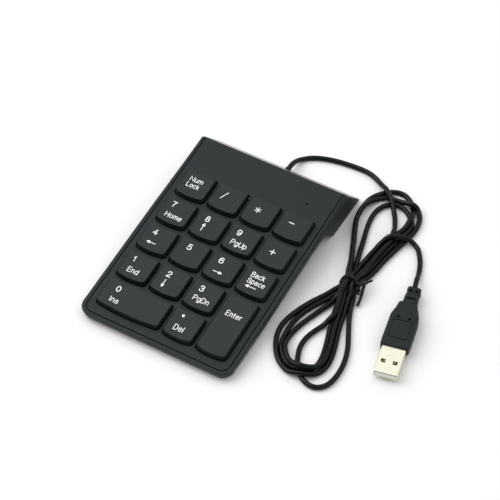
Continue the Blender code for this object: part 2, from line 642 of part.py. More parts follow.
def make_cord():
    """The lead, the hank as one solid of its outer shape, and the tail, with a tie round the hank's waist."""
    add_cord("cord_lead", LEAD_ROUTE, CORD)
    add_cord("cord_tail", TAIL_ROUTE, CORD)
    hank = add_object("cord_hank", prism_mesh("cord_hank", closed_smooth(HANK_OUTLINE), HANK_LOW, HANK_HIGH), CORD,
                      parent=None)
    (x0, x1), (y0, y1), (z0, z1) = WAIST_X, WAIST_Y, WAIST_Z
    groove = helper_group("waist_groove")
    low, high = -0.01, 0.02
    sides = {"left": ((x0 - 0.03, y0, low), (x0, y1, high)), "right": ((x1, y0, low), (x1 + 0.03, y1, high)),
             "under": ((x0 - 0.01, y0, low), (x1 + 0.01, y1, z0)), "over": ((x0 - 0.01, y0, z1), (x1 + 0.01, y1, high))}
    for name, (a, b) in sides.items():
        add_to_group(groove, f"groove_{name}", box_mesh("groove", a, b), parent=None)
    combine_all(hank, groove)

    wide = 0.0005
    gap = TOUCH_GAP
    middle = (y0 + y1) / 2
    ring = [(x0 - gap, z0 - gap), (x1 + gap, z0 - gap), (x1 + gap, z1 + gap), (x0 - gap, z1 + gap)]
    outer = [(x0 - gap - 2 * wide, z0 - gap - 2 * wide), (x1 + gap + 2 * wide, z0 - gap - 2 * wide),
             (x1 + gap + 2 * wide, z1 + gap + 2 * wide), (x0 - gap - 2 * wide, z1 + gap + 2 * wide)]
    bm = bmesh.new()
    rings = [[bm.verts.new((x, middle + side * 0.0009, z)) for x, z in loop]
             for loop, side in ((ring, -1), (outer, -1), (outer, 1), (ring, 1))]
    for i, here in enumerate(rings):
        after = rings[(i + 1) % len(rings)]
        for j in range(4):
            k = (j + 1) % 4
            bm.faces.new((here[j], here[k], after[k], after[j]))
    add_object("twist_tie", mesh_from(bm, "twist_tie"), TIE, parent=None)


def plug_section(half_width, half_height, along, steps=3):
    """A rounded rectangle across the plug's axis, at this distance from the shoulder."""
    radius = min(half_width, half_height) * 0.6
    corners = ((half_width, half_height), (-half_width, half_height), (-half_width, -half_height),
               (half_width, -half_height))
    return [(x, -along, z) for x, z in rounded(corners, (radius,) * 4, steps)]


def make_plug():
    """The moulded grip with its necked strain relief, the plated shell, and the tongue inside it."""
    frame = bpy.data.objects.new("plug_frame", None)
    PARTS.objects.link(frame)
    frame.location = (*PLUG_SHOULDER, PLUG_HEIGHT_Z)
    frame.rotation_euler = (0, 0, PLUG_TURN)
    sections = ((0.0034, 0.0030, -0.0112), (0.0036, 0.0031, -0.0108), (0.0036, 0.0031, -0.0074),
                (0.0029, 0.0026, -0.0068), (0.0032, 0.0028, -0.0040), (0.0029, 0.0027, -0.0004),
                (0.0046, 0.0032, 0.0), (0.0050, 0.0036, 0.0010), (0.0056, 0.0037, 0.0050), (0.0070, 0.0038, 0.0085),
                (0.0072, 0.0038, 0.0290), (0.0068, 0.0035, 0.0296))
    grip = add_object("plug_grip", loft_mesh("plug_grip", [plug_section(*s) for s in sections]), CORD, parent=frame)
    pocket = add_object("grip_pocket", box_mesh("pocket", (-0.0063, -0.0400, -0.00255), (0.0063, -0.0240, 0.00255)),
                        parent=frame, cutter=True)
    combine(grip, pocket)

    shell = add_object("plug_shell", box_mesh("plug_shell", (-0.0060, -0.0449, -0.00225), (0.0060, -0.0243, 0.00225)),
                       STEEL, parent=frame)
    mouth = add_object("shell_mouth", box_mesh("mouth", (-0.0057, -0.0500, -0.00195), (0.0057, -0.0249, 0.00195)),
                       parent=frame, cutter=True)
    combine(shell, mouth)
    windows = helper_group("shell_windows")
    for side in (-1, 1):
        window = box_mesh("window", (-0.00115, -0.0385, 0.001), (0.00115, -0.0362, 0.003))
        thing = add_to_group(windows, f"window_{side}", window, (side * 0.0027, 0, 0), parent=frame)
        thing.location = (side * 0.0027, 0, 0)
    combine_all(shell, windows)
    add_object("plug_tongue", box_mesh("plug_tongue", (-0.0054, -0.0444, -0.0016), (0.0054, -0.0252, 0.0003)),
               TONGUE, parent=frame)


make_top_cover()
make_bottom_case()
make_feet()
make_keys()
make_scissors()
make_layers()
make_board()
make_screws()
make_strain_relief()
make_cord()
make_plug()
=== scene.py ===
"""Looks of the slim numeric keypad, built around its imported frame. Shapes are in millimetres, in one of
three frames: WORLD, CASE (flat on the tilted top surface, Y from the front edge) and PLUG (its tip at -Y)."""

from math import cos, pi, radians, sin, tan

import bmesh
import bpy
import numpy as np
from mathutils import Matrix, Vector
from mathutils.bvhtree import BVHTree


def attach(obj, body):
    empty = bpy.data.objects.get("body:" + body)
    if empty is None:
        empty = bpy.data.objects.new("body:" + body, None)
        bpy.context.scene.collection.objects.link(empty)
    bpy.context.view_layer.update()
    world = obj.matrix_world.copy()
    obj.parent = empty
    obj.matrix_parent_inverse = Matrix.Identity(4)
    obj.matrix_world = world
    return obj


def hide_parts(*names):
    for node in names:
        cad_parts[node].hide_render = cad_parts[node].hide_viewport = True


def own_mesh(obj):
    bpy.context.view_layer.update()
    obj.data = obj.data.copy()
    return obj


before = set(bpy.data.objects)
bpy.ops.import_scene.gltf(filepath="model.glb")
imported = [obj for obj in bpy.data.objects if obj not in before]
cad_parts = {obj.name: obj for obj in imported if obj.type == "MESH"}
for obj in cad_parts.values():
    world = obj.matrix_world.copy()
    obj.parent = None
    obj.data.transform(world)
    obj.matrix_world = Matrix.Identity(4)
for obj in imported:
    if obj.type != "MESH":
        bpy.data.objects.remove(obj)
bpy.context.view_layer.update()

MM = 0.001
TILT = radians(6.4)
WORLD = Matrix.Scale(MM, 4)
CASE = Matrix.Translation((0, -0.068943, 0.0049714)) @ Matrix.Rotation(TILT, 4, "X") @ WORLD
PLUG = Matrix.Translation((0.0979, 0.0150, 0.0040)) @ Matrix.Rotation(radians(11.7), 4, "Z") @ WORLD

# Case, in the case frame
WIDTH, LENGTH, DEPTH = 86.0, 122.5, 4.6
FRONT_CORNER, REAR_CORNER = 6.8, 1.4
GROOVE_IN, GROOVE_OUT = 2.55, 2.2
COVER_THICK = 1.2
FLOOR_INSET = 3.4
REAR_LEAN = radians(35.3)
REAR_SLOPE = tan(REAR_LEAN)
FOOT_REAR_LOW, FOOT_FRONT_LOW, FOOT_FRONT_TOP = (136.5, -19.79), (106.9, -16.47), (98.1, -4.6)
FOOT_WALL = 1.96
# Screws and pads on the right; the left ones mirror them
HANDS = (("left", -1), ("right", 1))
REAR_SCREW, FRONT_SCREW = (30.0, 113.0), (19.0, 5.3)
REAR_PAD, FRONT_PAD = (37.0, 121.0), (34.0, 8.5)
PAD_RADIUS, PAD_HOLE_RADIUS = 4.0, 4.15

# Keys, in the case frame
PITCH, KEY_WIDTH, KEY_DEPTH = 19.0, 15.65, 15.4
KEY_RISE, KEY_SKIRT, KEY_BOW, KEY_DRAFT = 2.4, 0.6, 1.1, 0.5
KEY_ROWS = ("num_lock divide multiply minus", "seven eight nine plus", "four five six backspace",
            "one two three")
# Column, row, columns wide and rows deep
KEYS = {name: (column, row, 1, 1)
        for row, names in enumerate(KEY_ROWS) for column, name in enumerate(names.split())}
KEYS.update({"enter": (3, 3, 1, 2), "zero": (0, 4, 2, 1), "decimal": (2, 4, 1, 1)})
REAR_ROW_Y = 91.4
# Printed words: text, left, right, base line and height of a capital. LEGEND_SHIFT brings them to the case
# frame.
WORDS = {
    "num_lock": (("Num", -12.5, -5.0, 8.8, 3.0), ("Lock", -12.5, -5.2, 5.0, 3.0)),
    "seven": (("7", -12.5, -10.0, -9.8, 3.5), ("Home", -12.5, -3.0, -16.4, 3.2)),
    "eight": (("8", 7.5, 9.9, -10.0, 3.6),),
    "nine": (("9", 25.8, 28.3, -10.0, 3.6), ("PgUp", 25.7, 34.7, -16.2, 3.3)),
    "four": (("4", -12.1, -9.4, -29.0, 3.5),),
    "five": (("5", 8.0, 10.5, -29.1, 3.6),),
    "six": (("6", 26.2, 28.8, -28.8, 3.5),),
    "backspace": (("Back", 44.8, 52.3, -28.6, 3.2), ("Space", 44.6, 54.3, -32.4, 3.0)),
    "one": (("1", -12.5, -11.0, -47.8, 3.4), ("End", -11.7, -5.5, -54.2, 3.2)),
    "two": (("2", 7.4, 9.9, -47.9, 3.6),),
    "three": (("3", 26.1, 28.6, -47.8, 3.6), ("PgDn", 25.9, 34.7, -53.7, 3.3)),
    "enter": (("Enter", 44.8, 53.5, -54.0, 3.2),),
    "zero": (("0", -10.4, -7.9, -67.0, 3.5), ("Ins", -10.2, -5.3, -73.3, 3.1)),
    "decimal": (("Del", 26.3, 31.7, -72.9, 3.4),),
}
LEGEND_SHIFT = (-20.6, 84.1)
DIGIT_STROKE, LETTER_STROKE, LETTER_GAP = 0.50, 0.38, 0.25
INK_THICK, INK_STEP, INK_SUNK = 0.014, 0.0012, 0.03

# Cord, in the world frame; its length is in metres
CORD_DIAMETER = 2.7
CORD_AXIS = Matrix.Translation((1.8, 0, 5.0)) @ Matrix.Rotation(-pi / 2, 4, "X")
DESK_Z = 1.4


def new_object(name, data):
    made = bpy.data.objects.new(name, data)
    bpy.context.scene.collection.objects.link(made)
    return made


def add_node(tree, kind, inputs=(), **settings):
    """A shader node whose inputs are linked to sockets or set to values."""
    made = tree.nodes.new(kind)
    for key, value in settings.items():
        setattr(made, key, value)
    for key, value in dict(inputs).items():
        if isinstance(value, bpy.types.NodeSocket):
            tree.links.new(value, made.inputs[key])
        else:
            made.inputs[key].default_value = value
    return made


# ---------------------------------------------------------------- camera

def make_camera():
    data = bpy.data.cameras.new("camera")
    data.sensor_width = 36.0
    data.lens = 138.77
    data.clip_start, data.clip_end = 0.05, 20
    camera = new_object("camera", data)
    camera.location = (0.32457, -0.54317, 0.74432)
    camera.rotation_euler = (radians(40.5548), radians(-0.0877), radians(29.7038))
    bpy.context.scene.camera = camera


make_camera()


# ---------------------------------------------------------------- materials

class Look:
    """Builds one node material around a Principled shader."""

    def __init__(self, name, roughness, metallic=0.0, **values):
        self.material = bpy.data.materials.new(name)
        self.material.use_nodes = True
        self.tree = self.material.node_tree
        self.shader = self.tree.nodes["Principled BSDF"]
        self.shader.inputs["Roughness"].default_value = roughness
        self.shader.inputs["Metallic"].default_value = metallic
        for key, value in values.items():
            self.shader.inputs[key.replace("_", " ")].default_value = value
        self.place = self.tree.nodes.new("ShaderNodeTexCoord").outputs["Object"]

    def node(self, kind, inputs=(), **settings):
        return add_node(self.tree, kind, inputs, **settings)

    def stretched(self, scale):
        return self.node("ShaderNodeMapping", {"Vector": self.place, "Scale": scale}).outputs[0]

    def noise(self, size_mm, detail=2.0, vector=None):
        """Noise whose blobs are about this many millimetres across."""
        where = self.place if vector is None else vector
        inputs = {"Vector": where, "Scale": 1000 / size_mm, "Detail": detail}
        return self.node("ShaderNodeTexNoise", inputs).outputs[0]

    def cells(self, size_mm):
        """Rounded cells about this many millimetres across."""
        return self.node("ShaderNodeTexVoronoi", {"Vector": self.place, "Scale": 1000 / size_mm})

    def ramp(self, factor, low, high, start=0.3, end=0.7):
        return self.node("ShaderNodeMapRange", {0: factor, 1: start, 2: end, 3: low, 4: high}).outputs[0]

    def colours(self, factor, a, b, start=0.3, end=0.7):
        made = self.node("ShaderNodeValToRGB", {0: factor})
        for stop, position, colour in zip(made.color_ramp.elements, (start, end), (a, b)):
            stop.position = position
            stop.color = (*colour, 1)
        return made.outputs[0]

    def mixed(self, factor, a, b):
        a, b = (c if isinstance(c, bpy.types.NodeSocket) else (*c, 1) for c in (a, b))
        return self.node("ShaderNodeMix", {0: factor, 6: a, 7: b}, data_type="RGBA").outputs[2]

    def bump(self, *layers):
        """Layers are (height socket, depth in millimetres)."""
        normal = None
        for height, depth in layers:
            inputs = {"Height": height, "Distance": depth * MM, "Strength": 1.0}
            if normal is not None:
                inputs["Normal"] = normal
            normal = self.node("ShaderNodeBump", inputs).outputs[0]
        self.tree.links.new(normal, self.shader.inputs["Normal"])

    def set(self, **sockets):
        for key, socket in sockets.items():
            self.tree.links.new(socket, self.shader.inputs[key.replace("_", " ")])


def tint(colour, share):
    return tuple(c * share for c in colour)


def plastic(name, colour, roughness, grain=0.22, depth=0.012, spread=0.06, level=0.4, **values):
    """Injection-moulded plastic: spark-eroded grain, slow drifts of tone, and patches rubbed smoother."""
    look = Look(name, roughness, Specular_IOR_Level=level, Specular_Tint=(0.89, 0.98, 1.0, 1.0), **values)
    slow = look.noise(38, 3)
    fine = look.noise(grain, 2)
    cells = look.cells(grain * 1.8)
    tone = look.colours(slow, tint(colour, 1 - spread), tint(colour, 1 + spread))
    speck = look.mixed(look.ramp(fine, 0.0, 0.35, 0.45, 0.75), tone, tint(colour, 1.25))
    look.set(Base_Color=speck, Roughness=look.ramp(look.noise(9, 4), roughness - 0.02, roughness + 0.03))
    look.bump((look.noise(6.5, 2), depth * 1.2), (fine, depth), (cells.outputs["Distance"], depth * 0.5))
    return look.material


def metal(name, colour, roughness, streak, spangle=0.0):
    """Plated or rolled sheet: fine streaks, faint stains, and if asked for the spangle of zinc."""
    look = Look(name, roughness, 1.0)
    lines = look.noise(2.0, 3, look.stretched(streak))
    stain = look.noise(7, 4)
    tone = look.colours(stain, tint(colour, 0.93), tint(colour, 1.02))
    if spangle:
        grey = look.node("ShaderNodeRGBToBW", {0: look.cells(spangle).outputs["Color"]}).outputs[0]
        tone = look.mixed(look.ramp(grey, 0.0, 0.45, 0.2, 0.9), tone, tint(colour, 0.72))
    look.set(Base_Color=tone, Roughness=look.ramp(lines, roughness - 0.05, roughness + 0.09))
    look.bump((lines, 0.002), (look.noise(0.25, 2), 0.0015))
    return look.material


def ink(name):
    """Pad-printed white, a little uneven where the plastic's grain shows through."""
    look = Look(name, 0.45)
    spots = look.noise(0.16, 3)
    look.set(Base_Color=look.colours(spots, (0.72, 0.73, 0.74), (0.93, 0.93, 0.93), 0.25, 0.45),
             Roughness=look.ramp(spots, 0.38, 0.55))
    look.bump((spots, 0.004))
    return look.material


def solder_mask(name):
    """Green lacquer over copper tracks, with tinned pads."""
    look = Look(name, 0.32)
    tracks = look.node("ShaderNodeTexWave", {"Vector": look.place, "Scale": 260.0, "Distortion": 9.0,
                                             "Detail": 0.0, "Detail Scale": 0.4}).outputs["Fac"]
    lines = look.ramp(tracks, 0.0, 1.0, 0.62, 0.68)
    pads = look.node("ShaderNodeTexVoronoi", {"Vector": look.place, "Scale": 330.0, "Randomness": 0.35})
    dots = look.ramp(pads.outputs["Distance"], 1.0, 0.0, 0.16, 0.19)
    green = look.mixed(lines, (0.010, 0.110, 0.035), (0.030, 0.220, 0.070))
    look.set(Base_Color=look.mixed(dots, green, (0.72, 0.70, 0.66)), Metallic=dots,
             Roughness=look.ramp(look.noise(4, 3), 0.25, 0.42))
    look.bump((lines, 0.03), (dots, 0.03))
    return look.material


def film(name):
    """Polyester film with printed silver tracks."""
    look = Look(name, 0.28)
    wave = look.node("ShaderNodeTexWave", {"Vector": look.place, "Scale": 130.0, "Distortion": 5.0,
                                           "Detail": 1.0, "Detail Scale": 0.3}).outputs["Fac"]
    track = look.ramp(wave, 0.0, 1.0, 0.80, 0.86)
    look.set(Base_Color=look.mixed(track, (0.50, 0.60, 0.52), (0.66, 0.66, 0.64)), Metallic=track,
             Roughness=look.ramp(track, 0.22, 0.45))
    look.bump((track, 0.02), (look.noise(12, 2), 0.04))
    return look.material


def silicone(name):
    look = Look(name, 0.5)
    haze = look.noise(1.2, 4)
    look.set(Base_Color=look.colours(haze, (0.020, 0.021, 0.022), (0.034, 0.035, 0.036)),
             Roughness=look.ramp(haze, 0.42, 0.60))
    look.bump((look.noise(0.3, 3), 0.01))
    return look.material


def lens(name):
    look = Look(name, 0.12, IOR=1.5, Transmission_Weight=0.55)
    flow = look.noise(0.8, 3)
    look.set(Base_Color=look.colours(flow, (0.28, 0.62, 0.26), (0.42, 0.80, 0.36)),
             Roughness=look.ramp(flow, 0.06, 0.20))
    look.bump((flow, 0.01))
    return look.material


def floor_paper(name):
    look = Look(name, 0.85)
    look.set(Base_Color=look.colours(look.noise(60, 3), (0.875, 0.875, 0.88), (0.895, 0.895, 0.90)))
    look.bump((look.noise(0.5, 3), 0.01))
    return look.material


CHARCOAL = plastic("charcoal_plastic", (0.0072, 0.0100, 0.0112), 0.50, level=0.32)
REAR_BLACK = plastic("polished_rear", (0.0060, 0.0085, 0.0100), 0.50, level=0.28, Coat_Weight=0.75,
                     Coat_Roughness=0.22)
KEY_BLACK = plastic("key_plastic", (0.0096, 0.0122, 0.0130), 0.52, grain=0.18, level=0.36)
JACKET = plastic("cord_jacket", (0.0006, 0.0014, 0.0020), 0.24, grain=0.30, depth=0.003, level=0.22)
GRIP = plastic("plug_grip_plastic", (0.0065, 0.0085, 0.0090), 0.50, grain=0.20, level=0.30)
TIE = plastic("tie_plastic", (0.0030, 0.0036, 0.0040), 0.42, grain=0.35, depth=0.02, level=0.3)
RUBBER = plastic("foot_rubber", (0.016, 0.016, 0.017), 0.78, grain=0.35, depth=0.03, level=0.3)
NYLON = plastic("link_nylon", (0.045, 0.046, 0.048), 0.45, grain=0.25, depth=0.01, spread=0.08)
EPOXY = plastic("chip_epoxy", (0.018, 0.018, 0.019), 0.55, grain=0.12)
TONGUE = plastic("tongue_plastic", (0.80, 0.79, 0.74), 0.4, grain=0.2, spread=0.03)
SHELL = metal("plated_shell", (0.90, 0.89, 0.72), 0.30, (1, 20, 1))
STEEL = metal("screw_steel", (0.58, 0.57, 0.55), 0.28, (1, 1, 12))
GALVANISED = metal("galvanised_sheet", (0.62, 0.63, 0.64), 0.34, (1, 14, 1), spangle=6.0)
GOLD = metal("contact_gold", (0.90, 0.66, 0.28), 0.25, (1, 20, 1))
INK = ink("legend_ink")
MASK = solder_mask("board_solder_mask")
FILM = film("membrane_film")
SILICONE = silicone("dome_silicone")
LENS = lens("indicator_lens")


# ---------------------------------------------------------------- shapes

def finish_mesh(mesh, place, sharp=38):
    mesh.transform(place)
    mesh.shade_smooth()
    mesh.set_sharp_from_angle(angle=radians(sharp))


def add_piece(name, mesh, look, body, place=WORLD, replaces=(), sharp=38, weighted=False):
    finish_mesh(mesh, place, sharp)
    mesh.materials.clear()
    mesh.materials.append(look)
    piece = new_object(name, mesh)
    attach(piece, body)
    if replaces:
        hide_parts(*replaces)
    if weighted:
        weigh(piece)
    return piece


def weigh(piece):
    step = piece.modifiers.new("flat faces", "WEIGHTED_NORMAL")
    step.keep_sharp = True
    step.weight = 100


def bevel(piece, width, segments):
    step = piece.modifiers.new("rounded edges", "BEVEL")
    step.width = width * MM
    step.segments = segments
    step.limit_method = "ANGLE"
    step.angle_limit = radians(32)
    step.harden_normals = False


def cut(piece, mesh, place):
    """Cuts a closed mesh's shape out of a piece."""
    mesh.transform(place)
    cutter = new_object(f"{piece.name}_cutter", mesh)
    cutter.hide_render = True
    cutter.hide_viewport = True
    step = piece.modifiers.new("difference", "BOOLEAN")
    step.operation = "DIFFERENCE"
    step.object = cutter
    step.solver = "EXACT"


def to_mesh(bm, name):
    mesh = bpy.data.meshes.new(name)
    bm.to_mesh(mesh)
    bm.free()
    return mesh


def mesh_of(bm):
    """The mesh of a closed skin, its faces turned outwards."""
    bmesh.ops.recalc_face_normals(bm, faces=bm.faces)
    return to_mesh(bm, "piece")


def joined(name, meshes):
    """Several meshes as one."""
    bm = bmesh.new()
    for mesh in meshes:
        bm.from_mesh(mesh)
    return to_mesh(bm, name)


def loft(loops, ring=False):
    """A closed skin over loops of equal count. ring joins the last to the first, instead of capping both."""
    bm = bmesh.new()
    rings = [[bm.verts.new(p) for p in loop] for loop in loops]
    pairs = list(zip(rings, rings[1:])) + ([(rings[-1], rings[0])] if ring else [])
    for lower, upper in pairs:
        for i in range(len(lower)):
            j = (i + 1) % len(lower)
            bm.faces.new((lower[i], lower[j], upper[j], upper[i]))
    if not ring:
        bm.faces.new(rings[0])
        bm.faces.new(rings[-1])
    return mesh_of(bm)


def rounded(points, radii, steps=6):
    """An outline of points whose corners are replaced by arcs."""
    outline = []
    for i, (corner, radius) in enumerate(zip(points, radii)):
        here = Vector(corner)
        if radius == 0:
            outline.append(here)
            continue
        back = (Vector(points[i - 1]) - here).normalized()
        ahead = (Vector(points[(i + 1) % len(points)]) - here).normalized()
        half = back.angle(ahead) / 2
        centre = here + (back + ahead).normalized() * radius / sin(half)
        start = here + back * radius / tan(half) - centre
        turn = start.angle_signed(here + ahead * radius / tan(half) - centre)
        for k in range(steps + 1):
            outline.append(centre + Matrix.Rotation(-turn * k / steps, 2) @ start)
    return [(p.x, p.y) for p in outline]


def circle(radius, steps=32, centre=(0, 0)):
    return [(centre[0] + radius * cos(2 * pi * k / steps), centre[1] + radius * sin(2 * pi * k / steps))
            for k in range(steps)]


def turned(profile, steps=32, centre=(0, 0)):
    """A solid of revolution about Z from (radius, height) pairs."""
    return loft([[(x, y, z) for x, y in circle(r, steps, centre)] for r, z in profile])


def both_sides(spot):
    return [(side * spot[0], spot[1]) for side in (-1, 1)]


def prism(outline, low, high, along="Z"):
    if along == "X":
        return loft([[(low, u, v) for u, v in outline], [(high, u, v) for u, v in outline]])
    return loft([[(u, v, low) for u, v in outline], [(u, v, high) for u, v in outline]])


def block(low, high):
    outline = ((low[0], low[1]), (high[0], low[1]), (high[0], high[1]), (low[0], high[1]))
    return prism(outline, low[2], high[2])


def round_block(low, high, radius, steps=3):
    """A box with all its vertical edges rounded, and its top and bottom rims eased."""
    middle = ((low[0] + high[0]) / 2, (low[1] + high[1]) / 2)
    half = ((high[0] - low[0]) / 2, (high[1] - low[1]) / 2)
    ease = radius * 0.6
    loops = []
    for inset, z in ((ease, low[2]), (0, low[2] + ease), (0, high[2] - ease), (ease, high[2])):
        a, b = half[0] - inset, half[1] - inset
        outline = rounded(((a, b), (-a, b), (-a, -b), (a, -b)), (max(radius - inset, 0.05),) * 4, steps)
        loops.append([(x + middle[0], y + middle[1], z) for x, y in outline])
    return loft(loops)


def heading(points, i, closed=False):
    """The way a line runs at one of its points."""
    if closed:
        return (points[(i + 1) % len(points)] - points[i - 1]).normalized()
    return (points[min(i + 1, len(points) - 1)] - points[max(i - 1, 0)]).normalized()


def tube(path, radius, sides):
    """A tube along points, with rounded ends."""
    points = [Vector(p) for p in path]
    loops, across = [], None
    for i, p in enumerate(points):
        ahead = heading(points, i)
        if across is None:
            across = ahead.orthogonal().normalized()
        across = (across - ahead * across.dot(ahead)).normalized()
        other = ahead.cross(across)
        shares = [(radius, 0)]
        if i == 0:
            shares = [(radius * 0.55, -radius * 0.35), (radius * 0.9, -radius * 0.12), (radius, 0)]
        elif i == len(points) - 1:
            shares = [(radius, 0), (radius * 0.9, radius * 0.12), (radius * 0.55, radius * 0.35)]
        turns = [2 * pi * k / sides for k in range(sides)]
        for r, shift in shares:
            loops.append([p + ahead * shift + (across * cos(a) + other * sin(a)) * r for a in turns])
    return loft(loops)


def spline(points, spacing, closed=False):
    """Evenly spaced points on a smooth curve through the given ones."""
    knots = [Vector(p) for p in points]
    if closed:
        knots = [knots[-1]] + knots + knots[:2]
    else:
        knots = [knots[0] * 2 - knots[1]] + knots + [knots[-1] * 2 - knots[-2]]
    fine = []
    for a, b, c, d in zip(knots, knots[1:], knots[2:], knots[3:]):
        ta = 0.0
        tb = ta + max((b - a).length, 1e-6) ** 0.5
        tc = tb + max((c - b).length, 1e-6) ** 0.5
        td = tc + max((d - c).length, 1e-6) ** 0.5
        for k in range(16):
            t = tb + (tc - tb) * k / 16
            ab = a.lerp(b, (t - ta) / (tb - ta))
            bc = b.lerp(c, (t - tb) / (tc - tb))
            cd = c.lerp(d, (t - tc) / (td - tc))
            left = ab.lerp(bc, (t - ta) / (tc - ta))
            right = bc.lerp(cd, (t - tb) / (td - tb))
            fine.append(left.lerp(right, (t - tb) / (tc - tb)))
    if not closed:
        fine.append(knots[-2])
    line = np.array(fine)
    if closed:
        line = np.vstack([line, line[:1]])
    along = np.concatenate([[0], np.cumsum(np.linalg.norm(np.diff(line, axis=0), axis=1))])
    count = max(int(round(along[-1] / spacing)), 4)
    at = np.linspace(0, along[-1], count + 1)
    even = np.stack([np.interp(at, along, line[:, k]) for k in range(3)], 1)
    return even[:-1] if closed else even


# ---------------------------------------------------------------- cord

# Points on the cord's way, read from the photo; a point without a height lies on the desk
LEAD = (
    (1.8, 58.5, 5.0), (1.8, 64.0, 5.0), (1.8, 68.4, 4.9), (1.8, 71.2, 4.3), (2.0, 74.2, 3.0),
    (3.0, 77.2, 1.9), (5.6, 80.3), (10, 83.0), (15, 84.8), (20, 86.0), (25, 86.7), (30, 87.1), (35, 87.2),
    (40, 86.5, 1.6), (45, 84.4, 2.3), (49.9, 81.2, 3.3), (54.5, 77.5, 4.2), (58.2, 74.0, 4.4),
    (61.2, 70.1, 3.6), (64.2, 65.9, 1.8), (66.6, 61.4, 1.5), (68.2, 57.6, 2.6), (69.4, 53.6, 3.9),
    (70.1, 49.5, 3.9), (69.9, 44, 3.8), (69.3, 37, 3.8), (68.9, 30, 3.8), (68.3, 23.5, 4.6),
)
# Each run through the tie: X of the run and its height there
WAIST = {"b0": (62.2, 2.2), "b1": (64.85, 2.2), "b2": (67.5, 2.2), "m0": (63.5, 4.5), "m1": (66.2, 4.5),
         "m2": (68.9, 4.5), "t0": (64.9, 6.8), "t1": (67.5, 6.8)}
LOOPS = {
    # below the tie, from the right-hand run round to the left-hand one
    "low1": (
        (68.6, 8, 5.0), (69.6, 3, 2.8), (70.8, -3, 1.5), (72.4, -9.5), (74.2, -15.5), (76.2, -21.5),
        (78, -27.5), (79, -32.7), (79.1, -37.5), (77.7, -41.8, 1.5), (75.2, -44.9, 3.2), (72.0, -47.2, 4.1),
        (68.6, -48.2, 4.1), (65, -48.3, 3.2), (61.2, -46.9, 1.6), (57.3, -44.4), (53.7, -40.4), (50.9, -35.8),
        (48.9, -30.6), (48.1, -24.8), (48.7, -18.9), (50.3, -13.4), (52.3, -8.1), (54.5, -3.4), (57.0, 0.9),
        (59.0, 4.7), (60.6, 8.4, 1.6),
    ),
    "low2": (
        (66.6, 8), (66.4, 3), (67.1, -3), (68.6, -9.5), (70.4, -15.5), (72.4, -21.5), (74.2, -27.5),
        (75.3, -32.7), (75.5, -36.8, 1.5), (74.7, -40.2, 2.6), (72.7, -43.0, 4.0), (69.8, -44.9, 4.1),
        (66.4, -45.5, 4.0), (62.5, -44.2, 2.4), (58.4, -41.0), (55.0, -36.8), (53.1, -31.8), (52.1, -26),
        (52.1, -20.2), (53.0, -14.4), (54.8, -8.9), (57.3, -3.5), (60.2, 2.4), (62.8, 8.3, 1.5),
    ),
    "low3": (
        (66.0, 8, 4.3), (66.8, 2, 3.8), (68.2, -3, 3.6), (69.8, -9.5, 3.5), (71.8, -15.5, 3.5),
        (73.8, -21.5, 3.5), (75.5, -27.5, 3.5), (76.6, -32.7, 3.5), (76.6, -37.1, 3.7), (75.4, -40.6, 4.4),
        (73.1, -43.2, 5.4), (70.0, -44.9, 6.0), (66.4, -45.2, 5.9), (62.4, -43.6, 4.6), (58.6, -40.4, 3.7),
        (55.6, -36.2, 3.5), (54.6, -30.4, 3.0), (55.2, -24.0, 1.8), (57.0, -16.8), (59.0, -10.6),
        (61.0, -5, 1.6), (62.6, 0, 2.8), (63.4, 5, 3.7), (63.4, 9.5, 3.9),
    ),
    "low4": (
        (70.2, 8), (71.8, 3), (74.0, -2.5), (76.5, -8), (79.5, -14.2), (82.5, -20.4), (84.8, -27),
        (86, -33.3), (86.1, -39.7), (85.1, -45), (82.9, -48.4), (79.6, -50.2), (75.8, -50), (72.2, -48.2),
        (69, -45.4), (66.3, -41.8), (64, -37.1), (62.5, -32.2), (62.3, -26.5), (63.5, -21.3), (65.5, -16.3),
        (67.5, -12.0, 2.2), (68.6, -8.2, 3.8), (67.6, -3, 4.6), (66.2, 2, 5.6), (65.2, 7, 6.4),
    ),
    # above the tie, from the left-hand run round to the right-hand one
    "up1": (
        (60.5, 22), (58.2, 29), (55.6, 35.3), (53, 41.5), (50.3, 47.8), (48, 54.2), (47.1, 60), (47.1, 65.4),
        (48, 71), (50, 75.6), (52.7, 79), (55.9, 81.2), (59.1, 82.2), (62.4, 81.9), (65.9, 80),
        (69, 76.8, 1.5), (71.3, 72.6, 2.6), (72.6, 68, 3.9), (72.7, 63.4, 3.2), (71.7, 59.4, 1.6),
        (70.4, 55.6), (69.2, 50.8), (68.4, 44), (67.7, 38), (67.3, 30), (67.2, 23),
    ),
    "up3": (
        (63.2, 23), (61.3, 30), (59.5, 36.5), (57.9, 42.7), (56.1, 49.2), (54.6, 55.6), (53.9, 61.2),
        (54.4, 66.4), (56.2, 70.3), (58.9, 73), (62.2, 74), (65.7, 73.4), (69.2, 71.6), (72.2, 68.9),
        (74, 66), (74.9, 62.6), (74.7, 59.4), (73.7, 56), (72.2, 50.5), (71.1, 44.2), (70.4, 38),
        (69.6, 30, 1.6), (67.6, 23, 3.0),
    ),
    "up2": (
        (61.2, 22, 4.1), (58.5, 29, 4.05), (55.9, 35.3, 4.05), (53.3, 41.5, 4.05), (50.6, 47.8, 4.05),
        (48.3, 54.2, 4.05), (47.4, 60, 4.0), (47.6, 65, 3.6), (48.9, 69.6, 2.8), (51.2, 73.2, 1.9),
        (54.8, 75.8), (59.4, 76.7, 1.8), (63.8, 76.4, 3.2), (67.8, 76.1, 4.0), (71, 76, 3.4),
        (73.9, 74.4, 1.8), (76, 71.2), (77.2, 66.5), (77.4, 61.6), (76.8, 56.7), (75.7, 51.1), (74.3, 44.4),
        (72.9, 37), (71.5, 29), (70.2, 22.5, 1.6),
    ),
}
